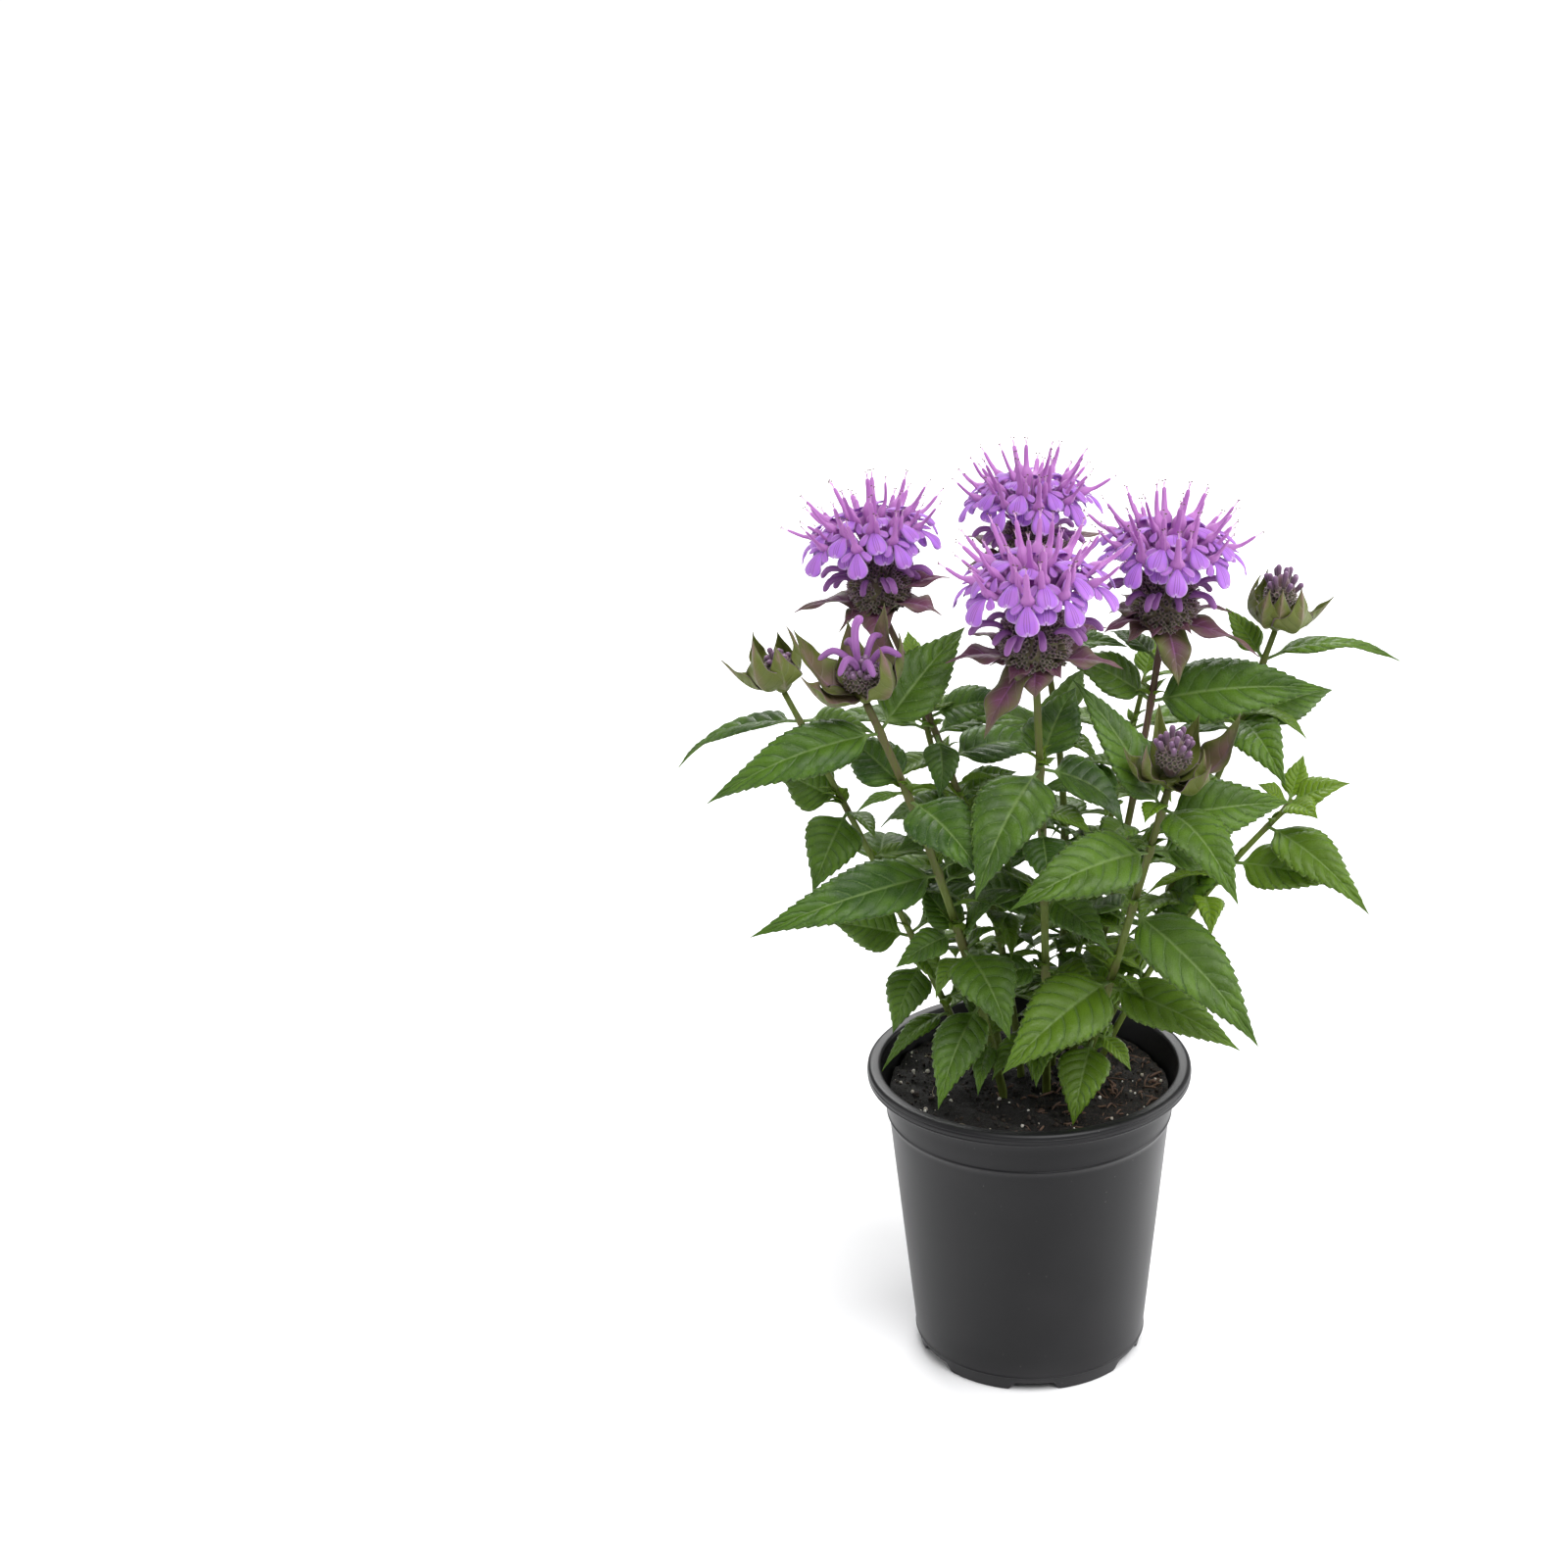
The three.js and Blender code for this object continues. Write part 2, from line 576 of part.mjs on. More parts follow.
// The soil fills the pot's inside, with coarse grains on top and a square hole for each stem.
function soilSolid() {
  const { rings, sides } = SOIL;
  const bottom = POT.floorTop + CLEARANCE;
  const edgeRadius = potInside(SOIL.level) - CLEARANCE;
  const footRadius = potInside(bottom) - CLEARANCE;
  const vertices = [around(0, 0, soilHeight(0, 0))];
  const faces = [];
  for (let ring = 1; ring <= rings; ring++) {
    for (let k = 0; k < sides; k++) {
      const point = around((edgeRadius * ring) / rings, (2 * Math.PI * k) / sides, 0);
      point.z = soilHeight(point.x, point.y);
      vertices.push(point);
    }
  }
  for (let k = 0; k < sides; k++) {
    vertices.push(around(footRadius, (2 * Math.PI * k) / sides, bottom));
  }
  vertices.push(around(0, 0, bottom));
  const id = (ring, k) => 1 + (ring - 1) * sides + (k % sides);
  for (let k = 0; k < sides; k++) {
    faces.push(0, id(1, k), id(1, k + 1));
    for (let ring = 1; ring <= rings; ring++) {
      const [a, b, c, d] = [id(ring, k), id(ring, k + 1), id(ring + 1, k + 1), id(ring + 1, k)];
      faces.push(a, d, c, a, c, b);
    }
    faces.push(vertices.length - 1, id(rings + 1, k + 1), id(rings + 1, k));
  }
  let solid = solidFrom(vertices, faces);
  const random = randomFrom(3);
  for (let k = 0; k < SOIL.grains; k++) {
    const grain = new THREE.OctahedronGeometry(SOIL.grainSize * (1 + 0.7 * random()));
    const { x, y, z } = vertices[id(2, 0) + Math.floor(2 * sides * random())];
    grain.rotateX(2 * random());
    grain.translate(x, y, z);
    solid = solid.add(solidOf(grain));
  }
  for (const stem of STEMS) {
    const side = Math.SQRT2 * stem.radii[0] + 2 * CLEARANCE;
    const hole = new THREE.BoxGeometry(side, side, 2 * (STEM.rootDepth + CLEARANCE));
    hole.translate(stem.base[0], stem.base[1], SOIL.level);
    solid = solid.subtract(solidOf(hole));
  }
  return solid;
}

// The curve of a stem above the soil.
function stemCurve(stem) {
  const start = [...stem.base, SOIL.level + STEM.aboveSoil];
  const [from, handle, to] = [start, stem.pull, stem.top].map((point) => new THREE.Vector3(...point));
  return new THREE.QuadraticBezierCurve3(from, handle, to);
}

// One leaf, rooted in its stem.
function leafSolid(stem, curve, [place, facing, length, rise, width, lift, roll]) {
  const direction = around(Math.cos(radians(rise)), radians(facing), Math.sin(radians(rise)));
  const outward = around(1, radians(facing), 0);
  const start = curve.getPoint(place);
  const radius = stem.radii[1];
  const teeth = THREE.MathUtils.clamp(Math.round(length / LEAF.toothSpacing), 2, 4);
  return blade({
    root: start.clone().addScaledVector(outward, -radius / 2),
    tip: start.clone().addScaledVector(direction, length),
    up: UP,
    lift,
    width,
    roll,
    fold: LEAF.fold,
    stalk: Math.min(LEAF.stalk, LEAF.stalkShare * length) + 1.5 * radius,
    shape: LEAF_SHAPE,
    margin: toothedMargin(teeth),
    ribs: length > LEAF.longLeaf ? 3 : 2,
  });
}

// A square stem, rooted in the soil, with its leaves.
function stemSolid(stem) {
  const curve = stemCurve(stem);
  const [thick, thin] = stem.radii;
  const points = [new THREE.Vector3(...stem.base, SOIL.level - STEM.rootDepth)];
  const radii = [thick];
  for (let i = 0; i <= STEM.steps; i++) {
    const u = i / STEM.steps;
    points.push(curve.getPoint(u));
    radii.push(thick + (thin - thick) * u);
  }
  const stalk = rod(points, radii, STEM.sides, Math.PI / 4);
  return fuse([stalk, ...stem.leaves.map((leaf) => leafSolid(stem, curve, leaf))]);
}

// The dark head of calyces, the closed florets that hook out of it and its collar of bracts, of which
// the first one hangs or rises by the bloom's own angle.
function calyxHead(bloom, random) {
  const parts = [spikedDome(HEAD.rows, HEAD.sides, 0, HEAD.top)];
  for (let k = 0; k < HOOK.count; k++) {
    const angle = (2 * Math.PI * (k + 0.5 + 0.4 * random())) / HOOK.count;
    const drop = 3 * random();
    const bends = [HOOK.root, HOOK.bend, HOOK.tip];
    const points = bends.map(([distance, height]) => around(distance, angle, height - drop));
    parts.push(rod(points, HOOK.radii, 3));
  }
  for (const [turn, rise, length] of bloom.bracts) {
    const [angle, slope] = [radians(turn), radians(rise)];
    const [distance, height] = BRACT.root;
    parts.push(
      blade({
        root: around(distance, angle, height),
        tip: around(length * Math.cos(slope), angle, height + length * Math.sin(slope)),
        up: UP,
        lift: BRACT.lift * (0.7 + 0.5 * random()),
        width: BRACT.width,
        fold: BRACT.fold,
        shape: BRACT_SHAPE,
        margin: [[0.2, 1], [0.6, 1]],
        ribs: 2,
      }),
    );
  }
  return fuse(parts);
}

// One open floret: a tube that forks into a narrow upright hood and a broad hanging lip. Its hood is
// steeper the more it faces the plant's front.
function floret(ring, angle, facing, random) {
  const sway = angle + 0.14 * (random() - 0.5);
  const grow = 0.94 + 0.12 * random();
  const at = ([distance, height]) => around(distance * grow, sway, height);
  const root = around(ring.root[0], angle, ring.root[1]);
  const [throat, lip] = [at(ring.throat), at(ring.lip)];
  const hood = at(ring.hood.map((value, k) => value + facing * ring.steep[k]));
  const outward = around(1, sway, 0);
  const across = around(1, sway + Math.PI / 2, 0);
  const off = (point, sideways, out, upwards) => {
    const level = point.clone().addScaledVector(across, sideways).addScaledVector(outward, out);
    return level.addScaledVector(UP, upwards);
  };
  const bow = throat.clone().lerp(hood, 0.55);
  const fall = throat.clone().lerp(lip, 0.62);
  const { tubeHalf, mouthHalf, hoodHalf, lipHalf, lipTip, lipThick } = FLORET;
  const points = [
    off(root, 0, -tubeHalf, tubeHalf),
    off(root, -tubeHalf, 0, -tubeHalf),
    off(root, tubeHalf, 0, -tubeHalf),
    off(throat, 0, -mouthHalf, mouthHalf),
    off(throat, -mouthHalf, 0, -mouthHalf),
    off(throat, mouthHalf, 0, -mouthHalf),
    off(throat, 0, 1.2 * mouthHalf, 0),
    off(bow, 0, -2.2 * hoodHalf, 2.2 * hoodHalf),
    off(bow, -hoodHalf, 0, 1.2 * hoodHalf),
    off(bow, hoodHalf, 0, 1.2 * hoodHalf),
    hood,
    off(fall, -lipHalf, 0, 1.2),
    off(fall, lipHalf, 0, 1.2),
    off(lip, -lipHalf * lipTip, 0, 0),
    off(lip, lipHalf * lipTip, 0, 0),
    off(fall, 0, 1.5 + lipThick / 2, 1.2 + lipThick / 2),
    off(fall, 0, 1 - lipThick / 2, 0.4 - lipThick / 2),
  ];
  return solidFrom(points, FLORET_FACES.flat());
}

// The crown of open florets, in rings that stand between one another, on a core of their crowded tubes.
function floretCrown(bloom, random) {
  const parts = [spikedDome(CROWN.rows, CROWN.sides, HEAD.top + CLEARANCE, CROWN.top)];
  CROWN.rings.forEach((ring, row) => {
    for (let k = 0; k < ring.count; k++) {
      const angle = (2 * Math.PI * (k + 0.5 * (row % 2))) / ring.count;
      const facing = Math.max(0, -Math.sin(angle + radians(bloom.spin)));
      parts.push(floret(ring, angle, facing, random));
    }
  });
  return fuse(parts);
}

// The cup of bracts round a bud, on a small receptacle.
function budBracts(bud) {
  const { bottom, radius, rim, rimFrom, height, sides } = RECEPTACLE;
  const parts = [lathe([[0, 0], [bottom, 0], [radius, rimFrom], [rim, height], [0, height]], sides)];
  for (const [turn, open, top, width] of bud.cup) {
    const angle = radians(turn);
    parts.push(
      blade({
        root: around(rim / 2, angle, height / 2),
        tip: around(open, angle, top),
        up: around(-1, angle, 0),
        lift: -0.42 * width,
        width,
        fold: BRACT.fold,
        shape: BRACT_SHAPE,
        margin: [[0.18, 1], [0.6, 1]],
        ribs: 2,
      }),
    );
  }
  return fuse(parts);
}

// The closed florets inside a bud: upright clubs on a small core, and some that curl out.
function budFlorets(bud, random) {
  const low = RECEPTACLE.height + CLEARANCE;
  const rows = [
    { at: [CLUB.core - CLEARANCE, low], out: 0 },
    { at: [CLUB.core, low + 0.4 * CLUB.coreHeight], out: 0 },
    { at: [0.75 * CLUB.core, low + 0.85 * CLUB.coreHeight], out: 0 },
  ];
  const parts = [spikedDome(rows, 6, low, low + CLUB.coreHeight)];
  for (let k = 0; k < bud.florets; k++) {
    const distance = CLUB.circle * Math.sqrt(k / bud.florets);
    const angle = k * radians(GOLDEN_ANGLE);
    const top = bud.reach - 0.8 * distance + 2.4 * random();
    const foot = around(0.8 * distance, angle, low + 2);
    const points = [foot, around(distance + 0.6, angle, top - 3), around(distance + 1.2, angle, top)];
    parts.push(rod(points, CLUB.radii, 3));
  }
  for (let k = 0; k < bud.curls; k++) {
    const angle = (2 * Math.PI * (k + 0.25)) / bud.curls;
    const heights = [low + CLUB.coreHeight / 2, CURL.high - CURL.rise, CURL.high, CURL.high - CURL.rise];
    parts.push(rod(heights.map((height, i) => around(CURL.out[i], angle, height)), CURL.radii, 3));
  }
  return fuse(parts);
}

// A group that stands on the end of a stem, leans from upright and just clears the stem's slanted end.
function headGroup(head, spin, size) {
  const stem = STEMS.find((each) => each.name === head.stem);
  const group = new THREE.Group();
  group.rotation.set(radians(head.lean[0]), radians(head.lean[1]), radians(spin));
  group.scale.setScalar(size);
  const axis = UP.clone().applyEuler(group.rotation);
  const slant = axis.angleTo(stemCurve(stem).getTangent(1));
  const seat = CLEARANCE + stem.radii[1] * Math.sin(slant);
  group.position.set(...stem.top).addScaledVector(axis, seat);
  return group;
}

const plant = new THREE.Group();
plant.add(node("pot", potSolid(), "pot"));
plant.add(node("soil", soilSolid(), "soil"));
for (const stem of STEMS) plant.add(node(`stem_${stem.name}`, stemSolid(stem), "leaf"));
for (const bloom of BLOOMS) {
  const random = randomFrom(bloom.seed);
  const group = headGroup(bloom, bloom.spin, bloom.size);
  group.add(node(`calyx_${bloom.stem}`, calyxHead(bloom, random), "calyx"));
  group.add(node(`florets_${bloom.stem}`, floretCrown(bloom, random), "petal"));
  plant.add(group);
}
for (const bud of BUDS) {
  const random = randomFrom(bud.seed);
  const group = headGroup(bud, 0, 1);
  group.add(node(`bracts_${bud.stem}`, budBracts(bud), "bract"));
  group.add(node(`closed_${bud.stem}`, budFlorets(bud, random), "closed"));
  plant.add(group);
}

export default plant;
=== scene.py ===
"""Potted bee balm: lilac blooms, bud heads and toothed leaves in a black nursery pot.

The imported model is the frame. Each piece here stands for one of its nodes and keeps that node's place and
form. Tables are in millimetres, as in the part's source; a piece is turned into metres when it is made.
"""
import math
from collections import namedtuple
from functools import lru_cache
import bpy
import numpy as np
from mathutils import Matrix, Vector, noise


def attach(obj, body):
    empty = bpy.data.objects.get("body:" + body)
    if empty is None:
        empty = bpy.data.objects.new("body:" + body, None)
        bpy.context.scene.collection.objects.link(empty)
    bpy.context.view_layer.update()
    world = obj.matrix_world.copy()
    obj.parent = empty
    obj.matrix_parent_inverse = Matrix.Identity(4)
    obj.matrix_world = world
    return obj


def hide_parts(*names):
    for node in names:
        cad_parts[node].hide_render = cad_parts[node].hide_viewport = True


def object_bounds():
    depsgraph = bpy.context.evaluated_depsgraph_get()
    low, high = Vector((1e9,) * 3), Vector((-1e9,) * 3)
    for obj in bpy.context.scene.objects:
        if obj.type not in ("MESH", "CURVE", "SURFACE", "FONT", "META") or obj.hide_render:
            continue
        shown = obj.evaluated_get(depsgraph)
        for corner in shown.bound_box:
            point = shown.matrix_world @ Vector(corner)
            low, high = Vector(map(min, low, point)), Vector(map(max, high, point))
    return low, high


bl_info = {
    "name": "Potted bee balm",
    "version": (1, 0, 0),
    "blender": (4, 5, 0),
    "location": "View3D > Sidebar > Bee balm",
    "description": "Dresses the packed potted bee balm with leaves, blooms, soil and a studio",
    "category": "Object",
}

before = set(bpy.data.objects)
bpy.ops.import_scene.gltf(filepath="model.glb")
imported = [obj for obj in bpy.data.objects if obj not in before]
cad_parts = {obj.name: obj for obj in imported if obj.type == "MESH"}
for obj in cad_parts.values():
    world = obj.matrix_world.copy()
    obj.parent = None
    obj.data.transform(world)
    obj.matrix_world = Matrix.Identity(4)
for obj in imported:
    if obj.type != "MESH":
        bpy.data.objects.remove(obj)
CAD_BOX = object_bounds()

MM = 0.001
ASIDE, UP = np.array((1.0, 0.0, 0.0)), np.array((0.0, 0.0, 1.0))
GOLDEN_ANGLE = math.radians(137.5)
CLEARANCE = 0.3
DRAW_START, DRAW_STEP, DRAW_RANGE = 7919, 16807, 2147483647

# The frame's own sizes, repeated in millimetres.
POT_HEIGHT, RIM_RADIUS, LIP_WIDTH, LIP_HEIGHT, LIP_BEAD = 160, 82.5, 7, 6.5, 3.4
COLLAR_BOTTOM, COLLAR_RADIUS, COLLAR_FLARE = 134, 71.6, 4.6
FOOT_RADIUS, FOOT_HEIGHT, POT_STEP, POT_WALL = 58.6, 8, 1, 1.5
FLOOR_BOTTOM, FLOOR_TOP = 5.6, 7.4
BEAD, GROOVE_DEPTH = 0.3, 0.35
NOTCH_COUNT, NOTCH_TURN, NOTCH_FOOT, NOTCH_TOP, NOTCH_HEIGHT = 6, 2.4, 28, 18.5, 4.6
DRAIN_RADIUS, DRAIN_FROM_AXIS = 4.5, 46
SOIL_LEVEL, SOIL_MOUND, SOIL_RIPPLE = 146, 2.2, 1.4
STEM_ROOT_DEPTH, STEM_ABOVE_SOIL = 26, 5
STALK, STALK_SHARE, STALK_HALF, LEAF_FOLD = 6, 0.14, 0.9, 14

# A blade's half width grows as u^rise and shrinks as (1 - u)^fall from its foot to its tip.
LEAF_OUTLINE = (0.5, 1.36)
BRACT_OUTLINE = (0.5, 1.3)

# Stems as in the frame. Each starts at its base on the soil, bows towards pull and ends at top, its radii
# being those of its foot and its top. young tints its leaves yellower, which on the two rear stems also
# stands for painted glow of light shining through their leaves from behind, and flush turns its upper end
# from green to purple brown. A leaf is (place along the stem, facing in degrees with 0 to the right and 90
# away from the viewer, length, rise of its tip in degrees, width, lift of its arch, roll about its own line).
Stem = namedtuple("Stem", "name base pull top radii young flush leaves")
STEMS = [
    Stem("front", (9, -10), (9, -30, 260), (4, -45, 384), (2.7, 2.3), 0.0, 0.25, [
        (0.8, -119, 76, -36, 40, 9, -8), (0.8, 24, 60, -40, 34, 9, 30), (0.5, 150, 50, -16, 27, 7, -20),
        (0.66, 118, 58, -4, 30, 9, 0), (0.79, 64, 50, 38, 31, 5, 0), (0.66, -82, 36, -34, 22, 6, 10),
        (0.5, -40, 44, -24, 24, 6, 20), (0.31, -160, 40, -4, 24, 6, -20), (0.31, -30, 31, -8, 22, 5, 20),
        (0.15, -98, 44, -12, 20, 7, 0), (0.15, -132, 42, -16, 20, 6, 0),
    ]),
    Stem("left", (-4, 5), (-14, 8, 270), (-69, 12, 394), (2.4, 2.0), 0.0, 0.9, [
        (0.79, -6, 44, 14, 26, 5, 30), (0.7, 30, 60, -4, 30, 8, 20), (0.76, -84, 34, -50, 20, 5, -20),
        (0.6, 158, 50, -22, 22, 7, -20), (0.57, -146, 42, -8, 26, 6, -40), (0.42, -30, 46, -14, 24, 6, 20),
        (0.42, 176, 44, -4, 24, 6, -20), (0.57, 72, 60, 0, 28, 8, 0), (0.35, 84, 50, -4, 28, 8, 0),
    ]),
    Stem("back", (12, 18), (30, 42, 285), (1, 62, 397), (2.5, 2.1), 0.1, 0.5, [
        (0.66, -60, 52, 62, 30, 4, 10), (0.66, 172, 84, 8, 26, 8, -10), (0.84, 95, 46, -2, 26, 7, 0),
        (0.84, -20, 44, 10, 22, 5, 20), (0.45, 100, 60, -6, 32, 9, 0), (0.45, 150, 60, -2, 30, 8, 0),
        (0.25, 105, 56, -10, 28, 8, 0),
    ]),
    Stem("right", (20, 8), (48, 8, 260), (65, 8, 386), (2.5, 2.1), 0.0, 1.0, [
        (0.86, -8, 86, 8, 36, 8, 46), (0.86, 176, 50, 29, 28, 4, -30), (0.94, 130, 36, 14, 16, 4, 0),
        (0.7, 74, 58, -8, 28, 9, 0), (0.66, 168, 48, 0, 26, 6, -20), (0.45, 106, 38, -6, 24, 6, 0),
    ]),
    Stem("bud_far_left", (-26, 3), (-66, 2, 250), (-118, -8, 363), (2.2, 1.8), 0.1, 0.1, [
        (0.93, 160, 76, -26, 28, 9, -4), (0.93, 8, 38, -12, 22, 4, 20), (0.73, 157, 38, 16, 27, 3, -48),
        (0.71, -118, 47, -38, 30, 8, -24), (0.55, 90, 54, -2, 28, 7, 0), (0.38, 170, 42, 5, 26, 4, -48),
        (0.32, -120, 42, -44, 24, 6, -14), (0.17, -134, 50, -20, 13, 9, -10),
    ]),
    Stem("bud_left", (-13, -18), (-36, -28, 270), (-76, -48, 372), (2.7, 2.3), 0.0, 0.55, [
        (0.92, -167, 90, -18, 29, 13, -44), (0.92, 44, 70, 36, 33, 4, 28), (0.76, 142, 46, 30, 28, 3, -30),
        (0.74, -49, 60, -22, 34, 8, 20), (0.76, -154, 27, -8, 11, 3, 0), (0.55, -155, 100, -9, 30, 9, -44),
        (0.55, 54, 40, 8, 22, 4, 10), (0.38, 139, 36, 40, 21, 2, -20), (0.38, -29, 38, 52, 20, 2, 30),
        (0.4, -153, 37, -17, 19, 4, -28), (0.36, -62, 56, -30, 34, 8, 8), (0.22, -117, 60, -38, 28, 8, -8),
        (0.12, -101, 40, -14, 13, 6, 0),
    ]),
    Stem("bud_right", (30, 16), (76, 18, 250), (120, 18, 384), (2.2, 1.8), 0.15, 0.1, [
        (0.94, -8, 66, 3, 20, 9, 0), (0.94, 142, 33, 46, 15, 2, -30), (0.82, 26, 54, 8, 26, 6, 40),
        (0.82, -62, 48, -22, 26, 12, 24), (0.8, 150, 36, -10, 20, 4, -10), (0.6, 75, 60, -4, 28, 8, 0),
        (0.38, -26, 62, 44, 34, 3, 36), (0.2, -48, 40, -14, 10, 8, 0),
    ]),
    Stem("bud_front", (24, -18), (44, -38, 236), (66, -60, 333), (2.6, 2.2), 0.12, 0.3, [
        (0.93, 160, 76, 56, 33, 2, -20), (0.95, -111, 30, 6, 13, 3, 0), (0.94, -54, 64, -28, 30, 12, 12),
        (0.91, 10, 64, 3, 30, 5, 48), (0.81, -149, 79, -8, 36, 10, -36), (0.81, 22, 44, -14, 26, 5, 36),
        (0.63, -37, 90, -34, 37, 9, 24), (0.63, 130, 54, -26, 26, 6, -10), (0.45, -137, 26, 54, 10, 1, -20),
        (0.4, -140, 76, -22, 40, 9, -30), (0.38, -24, 72, -18, 30, 7, 30), (0.2, -105, 48, -40, 27, 7, -4),
        (0.22, -40, 27, -30, 14, 3, 0),
    ]),
    Stem("shoot_right", (33, 2), (66, 2, 235), (130, 0, 302), (2.1, 1.6), 0.55, 0.0, [
        (0.98, 59, 27, 54, 14, 1, 20), (0.98, -13, 33, 26, 20, 3, 30), (0.98, -66, 29, 10, 18, 3, 20),
        (0.98, -170, 20, 40, 15, 1, -20), (0.9, -45, 70, -24, 27, 9, 24), (0.76, -24, 56, -2, 26, 5, 44),
        (0.62, 80, 56, -4, 26, 7, 0),
    ]),
    # The two rear stems' young is partly painted glow of light shining through their leaves from behind.
    Stem("rear_left", (-14, 20), (-32, 48, 240), (-58, 68, 345), (2.3, 1.7), 0.35, 0.1, [
        (0.98, 100, 30, 44, 15, 2, 0), (0.98, -140, 30, 30, 14, 2, 0), (0.86, 165, 66, -6, 30, 9, 0),
        (0.84, 20, 50, 4, 24, 6, 0), (0.66, 105, 54, -14, 30, 8, 0), (0.5, -178, 62, -8, 30, 8, 0),
        (0.3, 120, 56, -20, 28, 8, 0),
    ]),
    Stem("rear_right", (14, 34), (36, 62, 240), (60, 76, 340), (2.3, 1.7), 0.35, 0.1, [
        (0.98, 70, 30, 44, 15, 2, 0), (0.98, -50, 30, 26, 14, 2, 0), (0.86, 15, 66, -6, 30, 9, 0),
        (0.84, 140, 52, 0, 24, 6, 0), (0.66, 75, 43, -16, 27, 7, 0), (0.5, -2, 60, -6, 30, 8, 0),
        (0.3, 60, 56, -22, 28, 8, 0),
    ]),
]

# Small leaves that stand out on a stem: place, turn, length, rise in radians, width and youth.
SPRIGS = {
    "bud_right": [(0.835, -36, 36, -0.1, 21, 0.55), (0.81, 10, 24, 0.3, 14, 0.7)],
    "right": [(0.86, 150, 26, 0.2, 15, 0.6), (0.72, -60, 30, -0.3, 17, 0.4)],
    "left": [(0.62, 170, 34, 0.0, 20, 0.5), (0.8, 20, 26, 0.2, 15, 0.4)],
    "front": [(0.7, -30, 30, -0.2, 17, 0.4)],
}

# More of them, lower down and at the back, in the same form.
LOW_SPRIGS = {
    "rear_left": [(0.2, -10, 40, 0.1, 24, 0.1)],
    "back": [(0.25, 165, 42, -0.05, 25, 0.15), (0.42, -150, 40, -0.1, 24, 0.1)],
    "rear_right": [(0.3, -165, 38, -0.2, 23, 0.15), (0.55, -5, 40, -0.2, 24, 0.2)],
    "right": [(0.52, 175, 34, 0.15, 20, 0.15)],
    "bud_left": [(0.35, -10, 24, 0.75, 15, 0.4), (0.34, -130, 28, -0.45, 16, 0.4)],
    "bud_front": [(0.42, -30, 22, -0.5, 14, 0.65), (0.44, 165, 20, 0.55, 12, 0.65)],
    "shoot_right": [(0.3, -110, 22, 0.35, 15, 0.9)],
    "front": [(0.17, -108, 34, -0.45, 21, 0.5)],
}

# Lesser leaves low on each stem, about the side of the plant's middle, and the teeth of all small leaves.
LOW_LEAVES = 8
SMALL_TOOTH, SMALL_PITCH = 0.3, 5.2

# Open blooms by the stem that carries them: lean is the tilt about X and about Y, and spin the turn about
# the bloom's own axis, in degrees. Each bract is an angle round the head, the rise of its tip in degrees,
# its length and width and how far it swings aside. One between them, without a swing, isn't in the frame.
Bloom = namedtuple("Bloom", "stem lean spin size seed bracts between", defaults=[()])
BLOOMS = [
    Bloom("front", (4, -1), -96, 1.03, 11, [
        (-42, -45, 42, 20, 3), (4, -36, 19, 22, 0), (-76, 2, 41, 20, 4), (-116, 12, 36, 18, 0),
        (82, 0, 40, 20, -3), (132, 10, 41, 21, 0), (-166, 8, 34, 18, 0),
    ]),
    Bloom("left", (2, -9), -60, 0.94, 23, [
        (-114, 8, 46, 18, 2), (52, 18, 39, 20, 0), (24, -2, 41, 24, 3), (-88, -12, 28, 16, 0),
        (-40, -24, 29, 20, 0), (112, 14, 34, 19, 0), (172, 14, 34, 19, 0),
    ]),
    Bloom("back", (0, 0), -120, 0.92, 37, [
        (138, 20, 46, 20, 0), (-88, 16, 42, 18, 0), (40, 8, 36, 20, 2), (-16, 8, 36, 20, -2),
        (88, 12, 36, 18, 0), (-150, 12, 36, 18, 0), (-52, 4, 34, 18, 0),
    ]),
    Bloom("right", (4, 4), -84, 0.98, 41, [
        (11, -47, 34, 20, -2), (68, -13, 50, 19, -3), (98, 6, 35, 11, 0), (-100, 3, 27, 24, 2),
        (-140, 8, 29, 18, 0), (150, 10, 34, 19, 0), (-52, -12, 25, 20, 0),
    ], between=[(-76, -2, 31, 22)]),
]

# A bloom's points are (distance from its axis, height above the end of its stem). steep is how much further
# a ring's hoods reach out and up where they face the plant's front.
HEAD_OUTLINE = [(4, 0), (11, 5), (14, 12), (15, 17), (14, 22), (11, 26.5), (6, 29.5)]
HOOK_COUNT, HOOK_BENDS = 6, ((13, 25), (19, 28.5), (26, 29), (31, 24.5))
BRACT_ROOT, BRACT_FOLD, BRACT_LIFT = (4, 6.5), 16, 4
Ring = namedtuple("Ring", "count root throat hood lip steep")
RINGS = [
    Ring(9, (9, 33), (25.5, 46.5), (43, 56), (38, 36), (-10, 10)),
    Ring(9, (6, 34), (18.5, 52), (31.5, 68), (33, 45.5), (-6, 5)),
    Ring(5, (2.5, 36), (8, 54), (14, 74), (20, 55), (0, 0)),
]
LIP_OUTLINE = (1.35, 0.42)
HOOD_PLACES = (0.0, 0.18, 0.34, 0.44, 0.52, 0.59, 0.66, 0.8, 0.93, 1.0)
HOOD_WIDTHS = (1.3, 1.7, 2.6, 3.5, 3.6, 2.7, 1.75, 1.4, 1.25, 0.9)
HOOD_SHARE = 0.86

# What the frame leaves out of a bloom: half open florets, closed ones beside and above, and small bracts.
HALF_OPEN = Ring(10, (7, 33), (20, 47), (33, 58), (31, 38), (-7, 7))
SHORT_HOOKS, TOP_HOOKS, SMALL_BRACTS = 9, 10, 6

